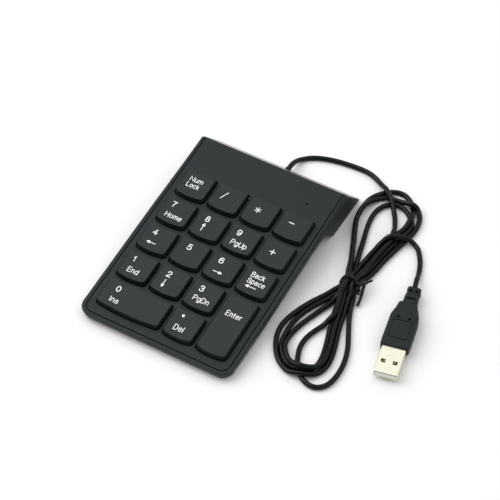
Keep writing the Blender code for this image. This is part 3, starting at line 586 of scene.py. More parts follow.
TAIL = (
    (64.8, 24, 5.2), (64.7, 30, 3.6), (64.9, 35.5, 2.6), (65.7, 40, 2.6), (66.9, 44.8, 3.8),
    (68.8, 48.6, 5.4), (71.2, 50.9, 6.5), (73.9, 52.4, 6.4), (77.2, 54.1, 5.4), (80.9, 54.2, 3.7),
    (84, 52.6, 2.2), (86.8, 49, 1.5), (89.3, 44.8), (91.8, 38.3, 2.2), (93.7, 31.5, 3.6), (95.2, 26.5, 4.0),
    (97.0, 19.0, 4.0),
)


def waist_points(name, downward):
    x, z = WAIST[name]
    points = [(x, 17.5, z), (x, 14.5, z), (x, 12.0, z)]
    return points if downward else points[::-1]


def cord_route():
    """The whole cord: down and up through the tie four times, with three loops above it and four below."""
    route = list(LEAD)
    for down, below, up, above in (("t1", "low1", "b0", LOOPS["up1"]), ("b2", "low2", "b1", LOOPS["up3"]),
                                   ("m1", "low3", "m0", LOOPS["up2"]), ("m2", "low4", "t0", TAIL)):
        route += [*waist_points(down, True), *LOOPS[below], *waist_points(up, False), *above]
    return [point if len(point) == 3 else (*point, DESK_Z) for point in route]


def settle(line, spacing):
    """Lets the cord's runs press apart until none lies in another, while each sinks towards the desk."""
    rounds, last_rounds = 260, 20
    sink, return_share, push_share, longest_push = 0.03, 0.06, 0.35, 0.35
    apart = CORD_DIAMETER * 1.01
    lowest = CORD_DIAMETER / 2 + 0.03
    tie_x, tie_half_width, tie_y, tie_reach, tie_lift = 66, 8, 13.9, 2.2, 0.82
    drawn = line.copy()
    index = np.arange(len(line))
    far_enough = np.abs(index[:, None] - index[None, :]) * spacing > 3.0 * CORD_DIAMETER
    held = np.zeros(len(line), bool)  # where the cord leaves the case and where it enters the plug
    held[:12] = True
    held[-9:] = True
    place = line.copy()
    for turn in range(rounds):
        place[:, 2] -= sink
        place[:, :2] += (drawn[:, :2] - place[:, :2]) * return_share
        gap = place[:, None, :] - place[None, :, :]
        away = np.linalg.norm(gap, axis=2)
        push = np.where((away < apart) & far_enough, (apart - away) / np.maximum(away, 1e-6), 0.0)
        moves = (gap * push[:, :, None]).sum(1) * push_share
        length = np.linalg.norm(moves, axis=1, keepdims=True)
        moves *= np.minimum(1.0, longest_push / np.maximum(length, 1e-9))
        place += moves
        shift = place - drawn
        smooth = shift.copy()
        smooth[1:-1] = 0.25 * shift[:-2] + 0.5 * shift[1:-1] + 0.25 * shift[2:]
        place = drawn + (smooth if turn < rounds - last_rounds else 0.5 * smooth + 0.5 * shift)
        beside = np.abs(place[:, 0] - tie_x) < tie_half_width
        under_tie = np.exp(-((place[:, 1] - tie_y) / tie_reach) ** 2) * beside
        place[:, 2] = np.maximum(place[:, 2], lowest + tie_lift * under_tie)
        place[held] = drawn[held]
    return place


def make_cord():
    spacing = 1.8
    line = settle(spline(cord_route(), spacing), spacing)
    curve = bpy.data.curves.new("cord", "CURVE")
    curve.dimensions = "3D"
    curve.bevel_depth = CORD_DIAMETER / 2 * MM
    curve.bevel_resolution = 5
    curve.use_fill_caps = True
    path = curve.splines.new("POLY")
    path.points.add(len(line) - 1)
    for point, (x, y, z) in zip(path.points, line):
        point.co = (x * MM, y * MM, z * MM, 1)
    path.use_smooth = True
    curve.materials.append(JACKET)
    cord = new_object("cord", curve)
    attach(cord, "housing")
    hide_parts("cord_lead", "cord_hank", "cord_tail")
    return cord


cord = make_cord()


# ---------------------------------------------------------------- twist tie

def ribbon(path, half_width, half_thick, across=None, closed=False):
    """A flat plastic strip with a wire down its middle. across is the way its width lies."""
    points = [Vector(p) for p in path]
    section = ((1, 0.30), (0.5, 0.42), (0.28, 0.85), (0, 1), (-0.28, 0.85), (-0.5, 0.42), (-1, 0.30),
               (-1, -0.30), (-0.5, -0.42), (-0.28, -0.85), (0, -1), (0.28, -0.85), (0.5, -0.42), (1, -0.30))
    loops = []
    for i, p in enumerate(points):
        ahead = heading(points, i, closed)
        wide = ahead.cross(Vector((0, 0, 1))) if across is None else Vector(across)
        wide = (wide - ahead * wide.dot(ahead)).normalized()
        high = ahead.cross(wide)
        loops.append([p + wide * (u * half_width) + high * (v * half_thick) for u, v in section])
    return loft(loops, ring=closed)


def helix(start, end, radius, turns, phase):
    """A strand wound round the line from start to end."""
    steps = 30
    a, b = Vector(start), Vector(end)
    ahead = (b - a).normalized()
    side = ahead.cross(Vector((0, 0, 1))).normalized()
    up = side.cross(ahead)
    strand = []
    for k in range(steps + 1):
        angle = phase + 2 * pi * turns * k / steps
        strand.append(tuple(a.lerp(b, k / steps) + side * (radius * cos(angle)) + up * (radius * sin(angle))))
    return strand


def make_tie():
    """Two turns of plastic-covered wire, one bulging at the left, twisted together on the right, with a short
    curl, a short end and a long end left over."""
    snug = ((62.0, 14.6, 0.45), (65.0, 14.2, 0.45), (67.8, 13.8, 0.5), (69.6, 13.5, 1.6), (70.7, 13.3, 3.6),
            (70.6, 13.2, 5.4), (69.7, 13.4, 7.1), (68.3, 13.7, 8.4), (66.4, 14.3, 8.65), (64.6, 14.8, 8.6),
            (63.3, 15.2, 7.8), (62.0, 15.4, 5.5), (60.7, 15.4, 3.2), (60.5, 15.3, 2.1), (61.0, 15.0, 0.9))
    slack = ((62.0, 13.2, 0.45), (65.0, 13.2, 0.45), (68.0, 13.0, 0.5), (69.8, 12.8, 1.6), (71.1, 12.6, 3.6),
             (70.9, 12.6, 5.4), (69.9, 12.9, 7.3), (68.6, 13.4, 8.7), (66.8, 14.0, 9.2), (64.6, 14.8, 9.2),
             (63.0, 15.2, 7.7), (62.0, 15.4, 6.0), (61.2, 15.4, 4.8), (60.6, 14.9, 3.7), (60.3, 14.1, 3.0),
             (60.3, 13.3, 2.2), (60.9, 13.0, 1.1))
    parts = [ribbon(spline(snug, 0.7, True), 0.58, 0.36, (0, 1, 0), True),
             ribbon(spline(slack, 0.7, True), 0.62, 0.40, (0, 1, 0.25), True)]
    twist = ((70.2, 13.0, 6.6), (72.4, 15.0, 5.6))
    short_end = [(73.2, 16.4, 5.2), (73.5, 17.6, 5.2), (74.2, 18.8, 4.9), (74.6, 20.3, 4.6)]
    long_end = [(73.0, 14.4, 5.0), (73.4, 12.4, 4.3), (74.0, 9.8, 3.2), (74.5, 6.9, 2.2), (74.6, 4.2, 1.3)]
    short = helix(*twist, 0.45, 1.6, 0) + short_end
    long = helix(*twist, 0.45, 1.6, pi) + long_end
    curl = helix((70.5, 12.9, 7.0), (72.7, 8.6, 4.6), 0.75, 2.3, 0.6)
    parts += [ribbon(spline(short, 0.4), 0.6, 0.4), tube(spline(curl, 0.35), 0.62, 8),
              ribbon(spline(long, 0.5), 0.8, 0.42)]
    return add_piece("twist_tie_wire", joined("tie", parts), TIE, "housing", replaces=("twist_tie",),
                     sharp=60)


tie = make_tie()


# ---------------------------------------------------------------- plug

def plug_loop(half_width, half_height, along, radius, steps, shift=0.0, lift=0.0):
    """A rounded cross-section of the plug, this far along it, moved sideways and up."""
    corners = ((half_width, half_height), (-half_width, half_height), (-half_width, -half_height),
               (half_width, -half_height))
    return [(x + shift, -along, z + lift) for x, z in rounded(corners, (radius,) * 4, steps)]


def make_grip():
    """The moulded handle: a notched neck, sloping shoulders, a sunk panel, ribs and two moulding pits."""
    # half width, half height, distance along, shift sideways and lift
    stations = (
        (2.2, 2.0, -10.8, 0), (2.9, 2.5, -10.7, 0), (3.4, 2.75, -10.3, 0), (3.55, 2.85, -9.4, 0),
        (3.55, 2.85, -8.6, 0), (3.3, 2.7, -8.1, 0), (2.5, 2.3, -7.8, 0), (2.25, 2.1, -7.5, 0),
        (2.25, 2.1, -6.7, 0), (2.6, 2.3, -6.4, 0), (3.2, 2.6, -6.2, 0), (3.5, 2.75, -5.8, 0),
        (3.6, 2.8, -3.6, 0), (3.6, 2.8, -1.3, 0), (3.4, 2.7, -0.9, 0), (2.95, 2.5, -0.7, 0),
        (2.95, 2.5, -0.3, -0.1), (4.2, 2.9, 0.0, -0.35), (4.75, 3.1, 0.4, -0.45), (4.9, 3.2, 0.9, -0.45),
        (5.05, 3.3, 2.4, -0.4), (5.0, 3.3, 2.8, -0.35), (5.5, 3.45, 3.2, -0.2), (5.65, 3.5, 3.6, -0.15),
        (5.55, 3.5, 4.5, -0.1), (5.95, 3.6, 4.9, -0.05), (6.15, 3.65, 5.4, 0), (6.1, 3.65, 6.0, 0),
        (6.5, 3.72, 6.5, 0), (7.0, 3.78, 8.4, 0), (7.15, 3.8, 9.6, 0), (7.2, 3.8, 14.0, 0),
        (7.25, 3.8, 20.0, 0), (7.3, 3.6, 24.5, 0, 0.15), (7.3, 3.35, 26.5, 0, 0.25),
        (7.2, 3.1, 27.6, 0, 0.35), (7.0, 2.95, 28.2, 0, 0.4), (6.7, 2.75, 28.6, 0, 0.4),
        (6.3, 2.55, 28.75, 0, 0.4),
    )
    mesh = loft([plug_loop(w, h, s, min(w, h) * 0.42, 5, *moved) for w, h, s, *moved in stations])
    grip = add_piece("plug_grip_moulding", mesh, GRIP, "housing", PLUG, ("plug_grip",),
                     sharp=50)
    pits = [turned(((0.72, 2.6), (0.72, 4.5)), 16, (side * 2.9, -10.9)) for side in (-1, 1)]
    outer = rounded(((4.9, -12.5), (-4.9, -12.5), (-5.1, -24.3), (5.1, -24.3)), (1.3,) * 4, 5)
    inner = rounded(((4.4, -13.0), (-4.4, -13.0), (-4.6, -23.8), (4.6, -23.8)), (1.0,) * 4, 5)
    panel_groove = loft([[(x, y, z) for x, y in loop] for loop, z in
                         ((outer, 3.42), (outer, 4.3), (inner, 4.3), (inner, 3.42))], ring=True)
    slots = [block((side * 1.45 - 0.45, 7.6, 0.9), (side * 1.45 + 0.45, 8.8, 4.0)) for side in (-1, 1)]
    slots.append(block((-2.2, 2.3, 1.9), (2.4, 3.3, 4.0)))
    saddle = rounded(((-0.9, 12.0), (-0.9, 9.7), (0.9, 9.7), (0.9, 12.0)), (0.1, 0.8, 0.8, 0.1), 5)
    slots.append(prism(saddle, 1.3, 4.0))
    ribs = [block((side * 7.35 - 0.3, -11.0 - 1.5 * k, -2.2), (side * 7.35 + 0.3, -10.4 - 1.5 * k, 2.2))
            for side in (-1, 1) for k in range(9)]
    pocket = [round_block((-6.25, -32.0, -2.5), (6.25, -27.4, 2.5), 0.4)]
    seam_line = ((5.0, -5.3), (5.7, -6.6), (6.25, -8.2), (6.5, -9.8), (6.6, -14.0), (6.65, -20.0), (6.7, -26.8))
    seams = [prism([(side * x, y) for x, y in seam_line] + [(side * 9, -26.8), (side * 9, -5.3)], 0.75, 1.25)
             for side in (-1, 1)]
    for group in (pits, [panel_groove], slots, ribs, seams, pocket):
        cut(grip, joined("cuts", group), PLUG)
    weigh(grip)
    return grip


def make_shell():
    """The folded sheet shell with its windows, seam and eased tip, and the tongue with its contacts."""
    loops = []
    for inset, along in ((0.0, 24.4), (0.0, 43.9), (0.10, 44.6), (0.20, 44.9)):
        loops.append(plug_loop(6.0 - inset, 2.25 - inset, along, 0.6, 4))
    for along, inset in ((44.85, 0.34), (44.4, 0.30), (25.2, 0.30)):
        loops.append(plug_loop(6.0 - inset, 2.25 - inset, along, 0.35, 4))
    shell = add_piece("plug_shell_sheet", loft(loops), SHELL, "housing", PLUG, ("plug_shell",),
                      sharp=40)
    windows = [block((side * 2.95 - 1.2, -39.2, z), (side * 2.95 + 1.2, -36.8, z + 1.6))
               for side in (-1, 1) for z in (1.4, -3.0)]
    seam = [block((-0.06, -45.5, -2.6), (0.06, -29.8, -1.6))]
    for group in (windows, seam):
        cut(shell, joined("cuts", group), PLUG)
    weigh(shell)
    tongs = []
    for side in (-1, 1):
        x = side * 2.95
        loops = []
        for t, w in ((0.0, 0.65), (0.35, 0.75), (0.7, 0.75), (1.0, 0.55)):
            y = -38.8 + 1.9 * t
            high, low = 1.55 - 0.8 * t, 1.4 - 0.8 * t
            loops.append([(x - w, y, high), (x + w, y, high), (x + w, y, low), (x - w, y, low)])
        tongs.append(loft(loops))
    springs = add_piece("plug_shell_springs", joined("springs", tongs), SHELL, "housing", PLUG)
    slab = round_block((-5.6, -44.75, -1.85), (5.6, -25.3, 0.85), 0.25)
    tongue = add_piece("plug_tongue_moulding", slab, TONGUE, "housing", PLUG, ("plug_tongue",))
    strips = []
    for x, tip in ((-3.5, -43.6), (-1.0, -42.6), (1.0, -42.6), (3.5, -43.6)):
        strips.append(round_block((x - 0.5, tip, 0.76), (x + 0.5, -26.0, 0.98), 0.08, 2))
    contacts = add_piece("plug_contacts", joined("contacts", strips), GOLD, "housing", PLUG)
    return [shell, springs, tongue, contacts]


plug_pieces = [make_grip()] + make_shell()


# ---------------------------------------------------------------- case

def u_path(inset):
    """Down the left side, round the front and up the right side, this far in from the outer edge."""
    steps = 10
    half, radius = WIDTH / 2 - inset, max(FRONT_CORNER - inset, 0.3)
    centre = WIDTH / 2 - FRONT_CORNER
    rear_radius = max(REAR_CORNER - inset, 0.02)
    rear = [(half - rear_radius * (1 - cos(a)), LENGTH - rear_radius * (1 - sin(a)))
            for a in (pi / 2, pi * 3 / 8, pi / 4, pi / 8, 0)]
    rear += [(half, LENGTH * share) for share in (0.92, 0.84, 0.76, 0.68, 0.60, 0.45, 0.25)]
    path = [(-x, y) for x, y in rear]
    for k in range(steps + 1):
        a = pi + pi / 2 * k / steps
        path.append((-centre + radius * cos(a), FRONT_CORNER + radius * sin(a)))
    for k in range(1, 6):
        path.append((-centre + 2 * centre * k / 6, inset))
    for k in range(steps + 1):
        a = -pi / 2 + pi / 2 * k / steps
        path.append((centre + radius * cos(a), FRONT_CORNER + radius * sin(a)))
    return path + rear[::-1]


def at_rear(point, z):
    """Moves a point of the rear end onto the slanted rear wall."""
    x, y = point
    return (x, y - REAR_SLOPE * z if y > LENGTH - REAR_CORNER - 0.1 else y, z)


def make_tray():
    """The bottom shell: rim, wall with eased edges, ledge and floor, open at the rear to the foot bar."""
    wall = ((2.0, -DEPTH), (1.45, -4.54), (1.05, -4.34), (0.78, -4.0), (0.55, -3.3), (0.32, -2.3),
            (0.12, -1.2))
    edge = ((0.0, -0.42), (0.05, -0.24), (0.16, -0.10), (0.34, -0.02), (0.55, 0.0))
    inside = ((1.95, 0.0), (2.08, -0.04), (2.17, -0.13), (GROOVE_OUT, -0.28), (GROOVE_OUT, -1.30),
              (FLOOR_INSET, -1.30), (FLOOR_INSET, -3.60))

    def chain(u, z, grows=False):
        """One line of the skin. The wall leans in more at the front; the rim grows rounder at the rear."""
        points = []
        for (x, y), slim in zip(u_path(u), u_path(u * 0.12)):
            if z < -0.5 and u < GROOVE_OUT:
                side = min(max((y - 3) / 10, 0), 1)
                x, y = x + (slim[0] - x) * side, y + (slim[1] - y) * side
            if grows:
                more = 1 + 2.2 * min(max((y - 62) / 40, 0), 1) ** 1.5
                x = (abs(x) - u * (more - 1)) * (1 if x > 0 else -1)
                points.append(at_rear((x, y), z * more))
            else:
                points.append(at_rear((x, y), z))
        return points

    bm = bmesh.new()
    lines = [chain(u, z) for u, z in wall] + [chain(u, z, True) for u, z in edge]
    lines += [chain(u, z) for u, z in inside]
    skin = [[bm.verts.new(p) for p in line] for line in lines]
    floor = skin[-1]
    underside = [bm.verts.new(at_rear(p, -DEPTH)) for p in u_path(FLOOR_INSET)]
    skin.append(underside)
    for a, b in zip(skin, skin[1:] + skin[:1]):
        if a is floor:  # the floor and the underside are one face each
            continue
        for i in range(len(a) - 1):
            bm.faces.new((a[i], a[i + 1], b[i + 1], b[i]))
    bm.faces.new(floor)
    bm.faces.new(underside)
    bm.faces.new((floor[0], floor[-1], underside[-1], underside[0]))
    for end in (0, -1):
        bm.faces.new([line[end] for line in skin])
    tray = add_piece("case_tray", mesh_of(bm), CHARCOAL, "housing", CASE, ("bottom_case",),
                     sharp=50)
    recesses = [turned(((1.75, -4.8), (1.75, -3.5)), 24, spot) for spot in both_sides(FRONT_SCREW)]
    recesses += [turned(((PAD_HOLE_RADIUS, -4.9), (PAD_HOLE_RADIUS, -4.1)), 40, spot)
                 for spot in both_sides(FRONT_PAD)]
    cut(tray, joined("cuts", recesses), CASE)
    cut(tray, block((-39.5, 99.2, -6.0), (39.5, 140.0, -1.0)), CASE)
    weigh(tray)


def make_foot_bar():
    """The hollow bar across the rear, from the cover's rear edge down to the desk and back up to the tray."""
    half = WIDTH / 2 - 0.4
    top = (LENGTH + REAR_SLOPE * (COVER_THICK + 0.12), -COVER_THICK - 0.12)
    profile = (top, FOOT_REAR_LOW, FOOT_FRONT_LOW, FOOT_FRONT_TOP, (FOOT_FRONT_TOP[0], top[1]))
    bar = add_piece("foot_bar", prism(profile, -half, half, "X"), CHARCOAL, "housing", CASE, (),
                    sharp=30)
    bevel(bar, 0.7, 4)
    hollow = ((top[0] - FOOT_WALL - REAR_SLOPE * 3, top[1] + 3), (134.5 - FOOT_WALL, -17.6), (109.9, -15.0),
              (100.1, -4.0), (100.1, 2.0))
    cut(bar, prism(hollow, -half + 3.0, half - 3.0, "X"), CASE)
    cut(bar, block((-half + 1.0, 97.0, -3.2), (half - 1.0, 102.5, 0.0)), CASE)
    pockets = [turned(((2.1, -30.0), (2.1, -9.4)), 24, spot) for spot in both_sides(REAR_SCREW)]
    cut(bar, joined("cuts", pockets), CASE)
    holes = []
    for spot in both_sides(REAR_PAD):
        centre = CASE @ Vector((*spot, 0)) / MM
        holes.append(turned(((PAD_HOLE_RADIUS, -2.0), (PAD_HOLE_RADIUS, 1.2)), 40, (centre.x, centre.y)))
    cut(bar, joined("cuts", holes), WORLD)
    cord_hole = turned(((1.85, 58.0), (1.85, 72.0)), 32)
    cord_hole.transform(CORD_AXIS)
    cut(bar, cord_hole, WORLD)
    bar.data.materials.append(REAR_BLACK)
    rearward = (CASE.to_3x3() @ Vector((0, cos(REAR_LEAN), sin(REAR_LEAN)))).normalized()
    for face in bar.data.polygons:
        if face.normal.dot(rearward) > 0.9:
            face.material_index = len(bar.data.materials) - 1
    post = ((3.0, -16.6), (3.0, -7.5), (2.7, -7.4), (1.1, -7.4), (1.1, -9.4), (2.1, -9.4), (2.1, -16.6))
    posts = [turned(post, 28, spot) for spot in both_sides(REAR_SCREW)]
    add_piece("case_posts", joined("posts", posts), CHARCOAL, "housing", CASE, ())
    weigh(bar)


def key_outline(columns, rows, margin):
    """A key's outline about its centre: straight rear and sides, and a front edge that bows forward."""
    bow_steps = 14
    half = (KEY_WIDTH + (columns - 1) * PITCH) / 2 + margin
    rear = (KEY_DEPTH + (rows - 1) * PITCH) / 2 + margin
    points = [(half, rear), (-half, rear)]
    for k in range(bow_steps + 1):
        across = 2 * k / bow_steps - 1
        points.append((across * half, -rear + KEY_BOW * across * across))
    rear_radius = max(0.7 + margin, 0.2)
    front_radius = max(1.8 + margin * 0.5, 0.2)
    radii = [rear_radius, rear_radius, front_radius] + [0] * (bow_steps - 1) + [front_radius]
    return rounded(points, radii)


def key_centre(name):
    column, row, columns, rows = KEYS[name]
    return (-1.5 * PITCH + PITCH * (column + (columns - 1) / 2),
            REAR_ROW_Y - PITCH * (row + (rows - 1) / 2))


def make_cover():
    """The key plate: an eased outer edge, eighteen openings with eased rims, and the indicator's pinhole."""
    bm = bmesh.new()
    rear = [(x * (WIDTH / 2 - GROOVE_IN) / 8, LENGTH) for x in range(7, -8, -1)]

    def outer_ring(inset, z, back):
        ring = []
        for x, y in u_path(GROOVE_IN + inset):
            ring.append((x, y - REAR_SLOPE * z - back if y > LENGTH - REAR_CORNER - 0.1 else y, z))
        for x, y in rear:
            ring.append((x, LENGTH - REAR_SLOPE * z - back, z))
        return ring

    shapes = [[outer_ring(0, -COVER_THICK, 0), outer_ring(0, -0.30, 0), outer_ring(0.05, -0.14, 0.07),
               outer_ring(0.15, -0.04, 0.20), outer_ring(0.34, 0, 0.42)]]
    for name, (_, _, columns, rows) in KEYS.items():
        cx, cy = key_centre(name)
        rings = []
        for margin, z in ((1.0, -COVER_THICK), (1.0, -0.22), (1.05, -0.08), (1.22, 0.0)):
            rings.append([(x + cx, y + cy, z) for x, y in key_outline(columns, rows, margin)])
        shapes.append(rings)
    pin = [(0.5, -COVER_THICK), (0.5, -0.15), (0.62, 0.0)]
    shapes.append([[(x, y, z) for x, y in circle(r, 20, (27.0, 108.6))] for r, z in pin])
    low_edges, top_edges = [], []
    for rings in shapes:
        made = [[bm.verts.new(p) for p in ring] for ring in rings]
        for a, b in zip(made, made[1:]):
            for i in range(len(a)):
                j = (i + 1) % len(a)
                bm.faces.new((a[i], a[j], b[j], b[i]))
        low_edges += [bm.edges.get((made[0][i - 1], made[0][i])) for i in range(len(made[0]))]
        top_edges += [bm.edges.get((made[-1][i - 1], made[-1][i])) for i in range(len(made[-1]))]
    for edges in (low_edges, top_edges):
        bmesh.ops.triangle_fill(bm, use_beauty=True, edges=edges)
    add_piece("key_plate", mesh_of(bm), CHARCOAL, "housing", CASE, ("top_cover",),
              sharp=50, weighted=True)
    bosses = []
    for side in (-1, 1):
        for (x, y), low, radius in ((REAR_SCREW, -6.1, 2.5), (FRONT_SCREW, -2.5, 1.6)):
            profile = ((radius, -COVER_THICK + 0.1), (radius, low + 0.2), (radius - 0.2, low), (1.05, low),
                       (1.05, low + 1.0))
            bosses.append(turned(profile, 28, (side * x, y)))
    add_piece("cover_bosses", joined("bosses", bosses), CHARCOAL, "housing", CASE, ())


make_tray()
make_foot_bar()
make_cover()


# ---------------------------------------------------------------- keys

def make_cap(name):
    """A keycap: drafted hollow walls, an eased top edge and a barely dished top."""
    columns, rows = KEYS[name][2:]
    cx, cy = key_centre(name)

    def ring(margin, z, share=1.0):
        return [(x * share + cx, y * share + cy, z) for x, y in key_outline(columns, rows, margin)]

    drafted = KEY_DRAFT * 0.42 / (KEY_RISE + KEY_SKIRT)
    loops = [ring(-1.0, KEY_RISE - 1.0), ring(KEY_DRAFT - 1.0, -KEY_SKIRT),
             ring(KEY_DRAFT - 0.08, -KEY_SKIRT), ring(KEY_DRAFT, -KEY_SKIRT + 0.08)]
    for margin, z in ((drafted, 2.08), (0.0, 2.20), (-0.08, 2.31), (-0.20, 2.38), (-0.36, KEY_RISE)):
        loops.append(ring(margin, z))
    for share in (0.90, 0.74, 0.56, 0.36, 0.16):
        loops.append(ring(-0.36, KEY_RISE - 0.10 * (1 - share * share), share))
    cap = loft(loops)
    stem = turned(((1.7, -0.1), (1.7, 1.6)), 20, (cx, cy))
    return add_piece(f"cap_{name}", joined("cap", [cap, stem]), KEY_BLACK, f"key_{name}", CASE,
                     (f"key_{name}",), sharp=42, weighted=True)


def arc(cx, cy, rx, ry, start, end):
    """Part of an ellipse between two angles in degrees."""
    count = max(int(abs(end - start) / 18), 3)
    angles = [radians(start + (end - start) * k / count) for k in range(count + 1)]
    return [(cx + rx * cos(a), cy + ry * sin(a)) for a in angles]


def bent(*knots):
    """A smooth line through a few flat points."""
    return [(x, y) for x, y, _ in spline([(x, y, 0) for x, y in knots], 0.09)]


def letters():
    """Plain sans-serif characters as pen strokes, one unit to a capital's height."""
    bowl = arc(0.27, 0.36, 0.27, 0.36, 0, 360)
    shapes = {
        "N": [[(0, 0), (0, 1), (0.66, 0), (0.66, 1)]],
        "L": [[(0, 1), (0, 0), (0.52, 0)]],
        "H": [[(0, 0), (0, 1)], [(0.66, 0), (0.66, 1)], [(0, 0.53), (0.66, 0.53)]],
        "P": [[(0, 0), (0, 1), (0.30, 1)] + arc(0.34, 0.74, 0.27, 0.26, 90, -90) + [(0, 0.48)]],
        "U": [[(0, 1)] + arc(0.32, 0.32, 0.32, 0.32, 180, 360) + [(0.64, 1)]],
        "B": [[(0, 0), (0, 1), (0.30, 1)] + arc(0.34, 0.77, 0.23, 0.23, 90, -90) + [(0, 0.54)],
              [(0.30, 0.54)] + arc(0.35, 0.27, 0.27, 0.27, 90, -90) + [(0, 0)]],
        "S": [bent((0.58, 0.76), (0.48, 0.94), (0.29, 1), (0.10, 0.93), (0.04, 0.76), (0.14, 0.60),
                   (0.33, 0.52), (0.54, 0.42), (0.61, 0.25), (0.51, 0.06), (0.30, 0), (0.08, 0.07), (0, 0.27))],
        "E": [[(0.55, 1), (0, 1), (0, 0), (0.57, 0)], [(0, 0.53), (0.51, 0.53)]],
        "D": [[(0, 0), (0, 1), (0.26, 1)] + arc(0.28, 0.5, 0.38, 0.5, 90, -90) + [(0, 0)]],
        "I": [[(0, 0), (0, 1)]],
        "u": [[(0, 0.72)] + arc(0.23, 0.22, 0.23, 0.22, 180, 360), [(0.46, 0.72), (0.46, 0)]],
        "m": [[(0, 0), (0, 0.72)], arc(0.19, 0.52, 0.19, 0.20, 180, 0) + [(0.38, 0)],
              arc(0.57, 0.52, 0.19, 0.20, 180, 0) + [(0.76, 0)]],
        "n": [[(0, 0), (0, 0.72)], arc(0.22, 0.50, 0.22, 0.22, 180, 0) + [(0.44, 0)]],
        "o": [bowl],
        "c": [arc(0.27, 0.36, 0.27, 0.36, 48, 312)],
        "k": [[(0, 0), (0, 1)], [(0.42, 0.72), (0, 0.28)], [(0.15, 0.44), (0.45, 0)]],
        "e": [[(0.01, 0.39)] + arc(0.26, 0.36, 0.26, 0.36, 6, 318)],
        "g": [bowl, [(0.54, 0.72)] + arc(0.28, -0.04, 0.26, 0.22, 0, -150)],
        "p": [bowl, [(0, 0.72), (0, -0.27)]],
        "d": [bowl, [(0.54, 1), (0.54, 0)]],
        "a": [bent((0.04, 0.53), (0.10, 0.67), (0.25, 0.72), (0.40, 0.67), (0.45, 0.53), (0.45, 0.14),
                   (0.52, 0.01)),
              bent((0.45, 0.42), (0.22, 0.39), (0.05, 0.31), (0, 0.18), (0.06, 0.04), (0.20, 0), (0.36, 0.06),
                   (0.45, 0.20))],
        "s": [bent((0.42, 0.54), (0.35, 0.68), (0.21, 0.72), (0.07, 0.67), (0.03, 0.55), (0.10, 0.43),
                   (0.25, 0.37), (0.39, 0.30), (0.44, 0.18), (0.37, 0.04), (0.21, 0), (0.06, 0.04), (0, 0.19))],
        "l": [[(0, 0), (0, 1)]],
        "t": [[(0.13, 0.92), (0.13, 0.12), (0.19, 0.01), (0.31, 0.02)], [(0, 0.70), (0.29, 0.70)]],
        "r": [[(0, 0), (0, 0.72)], bent((0, 0.42), (0.06, 0.60), (0.16, 0.70), (0.28, 0.71))],
        "0": [arc(0.30, 0.5, 0.30, 0.5, 0, 360)],
        "1": [[(0, 0.76), (0.17, 0.83), (0.26, 1), (0.26, 0)]],
        "2": [bent((0.02, 0.70), (0.09, 0.92), (0.29, 1), (0.50, 0.93), (0.57, 0.73), (0.48, 0.52),
                   (0.24, 0.30), (0.06, 0.13), (0, 0)) + [(0.60, 0)]],
        "3": [bent((0.02, 0.75), (0.09, 0.93), (0.27, 1), (0.47, 0.94), (0.53, 0.76), (0.44, 0.59),
                   (0.22, 0.54)),
              bent((0.22, 0.54), (0.47, 0.47), (0.57, 0.28), (0.48, 0.07), (0.27, 0), (0.07, 0.07), (0, 0.26))],
        "4": [[(0.43, 0), (0.43, 1), (0, 0.30), (0.60, 0.30)]],
        "5": [[(0.54, 1), (0.12, 1)]
              + bent((0.05, 0.50), (0.16, 0.61), (0.31, 0.64), (0.50, 0.56), (0.58, 0.33), (0.50, 0.09),
                     (0.27, 0), (0.07, 0.07), (0, 0.25))],
        "6": [bent((0.53, 0.80), (0.46, 0.95), (0.30, 1), (0.12, 0.91), (0.02, 0.68), (0, 0.42), (0.05, 0.13),
                   (0.17, 0.02), (0.30, 0), (0.48, 0.07), (0.57, 0.31), (0.49, 0.55), (0.31, 0.62),
                   (0.13, 0.55), (0.02, 0.36))],
        "7": [[(0, 1)] + bent((0.56, 1), (0.38, 0.68), (0.25, 0.34), (0.20, 0))],
        "8": [arc(0.29, 0.76, 0.23, 0.24, 0, 360), arc(0.29, 0.27, 0.29, 0.27, 0, 360)],
    }
    shapes["9"] = [[(0.57 - x, 1 - y) for x, y in shapes["6"][0]]]
    return shapes


LETTERS = letters()


def pen(points, width):
    """A flat stroke of even width along a line."""
    knots = [Vector(points[0])]
    knots += [Vector(p) for p in points[1:] if (Vector(p) - knots[-1]).length > 1e-4]
    closed = (knots[0] - knots[-1]).length < 1e-3 or (knots[0] - Vector(points[-1])).length < 1e-3
    if closed and (knots[0] - knots[-1]).length < 0.02:
        knots.pop()
    count = len(knots)
    sides = []
    for i, knot in enumerate(knots):
        before = (knot - knots[i - 1]).normalized() if closed or i else None
        after = (knots[(i + 1) % count] - knot).normalized() if closed or i < count - 1 else None
        before, after = before or after, after or before
        ahead = (before + after).normalized()
        stretch = 1 / max(ahead.dot(after), 0.55)
        across = Vector((-ahead.y, ahead.x)) * (width / 2 * stretch)
        extra = Vector((0, 0))
        if not closed and i in (0, count - 1):
            extra = ahead * (width * (-0.3 if i == 0 else 0.3))
        sides.append((knot + across + extra, knot - across + extra))
    bm = bmesh.new()
    rows = [[bm.verts.new((*p, 0)) for p in side] for side in sides]
    for a, b in zip(rows, rows[1:] + rows[:1] if closed else rows[1:]):
        bm.faces.new((a[0], a[1], b[1], b[0]))
    return to_mesh(bm, "stroke")


def word(text, left, right, base, cap):
    """A word's strokes, spaced evenly and stretched to its measured box."""
    weight = DIGIT_STROKE if text.isdigit() else LETTER_STROKE
    wide = [max(x for line in LETTERS[c] for x, _ in line) for c in text]
    total = sum(wide) + LETTER_GAP * (len(text) - 1)
    stretch = (right - left - weight) / total if total > 0.3 else cap
    start = left + weight / 2
    strokes = []
    for c, w in zip(text, wide):
        for line in LETTERS[c]:
            points = [(start + x * stretch, base + weight / 2 + y * (cap - weight)) for x, y in line]
            strokes.append(pen(points, weight))
        start += (w + LETTER_GAP) * stretch
    return strokes


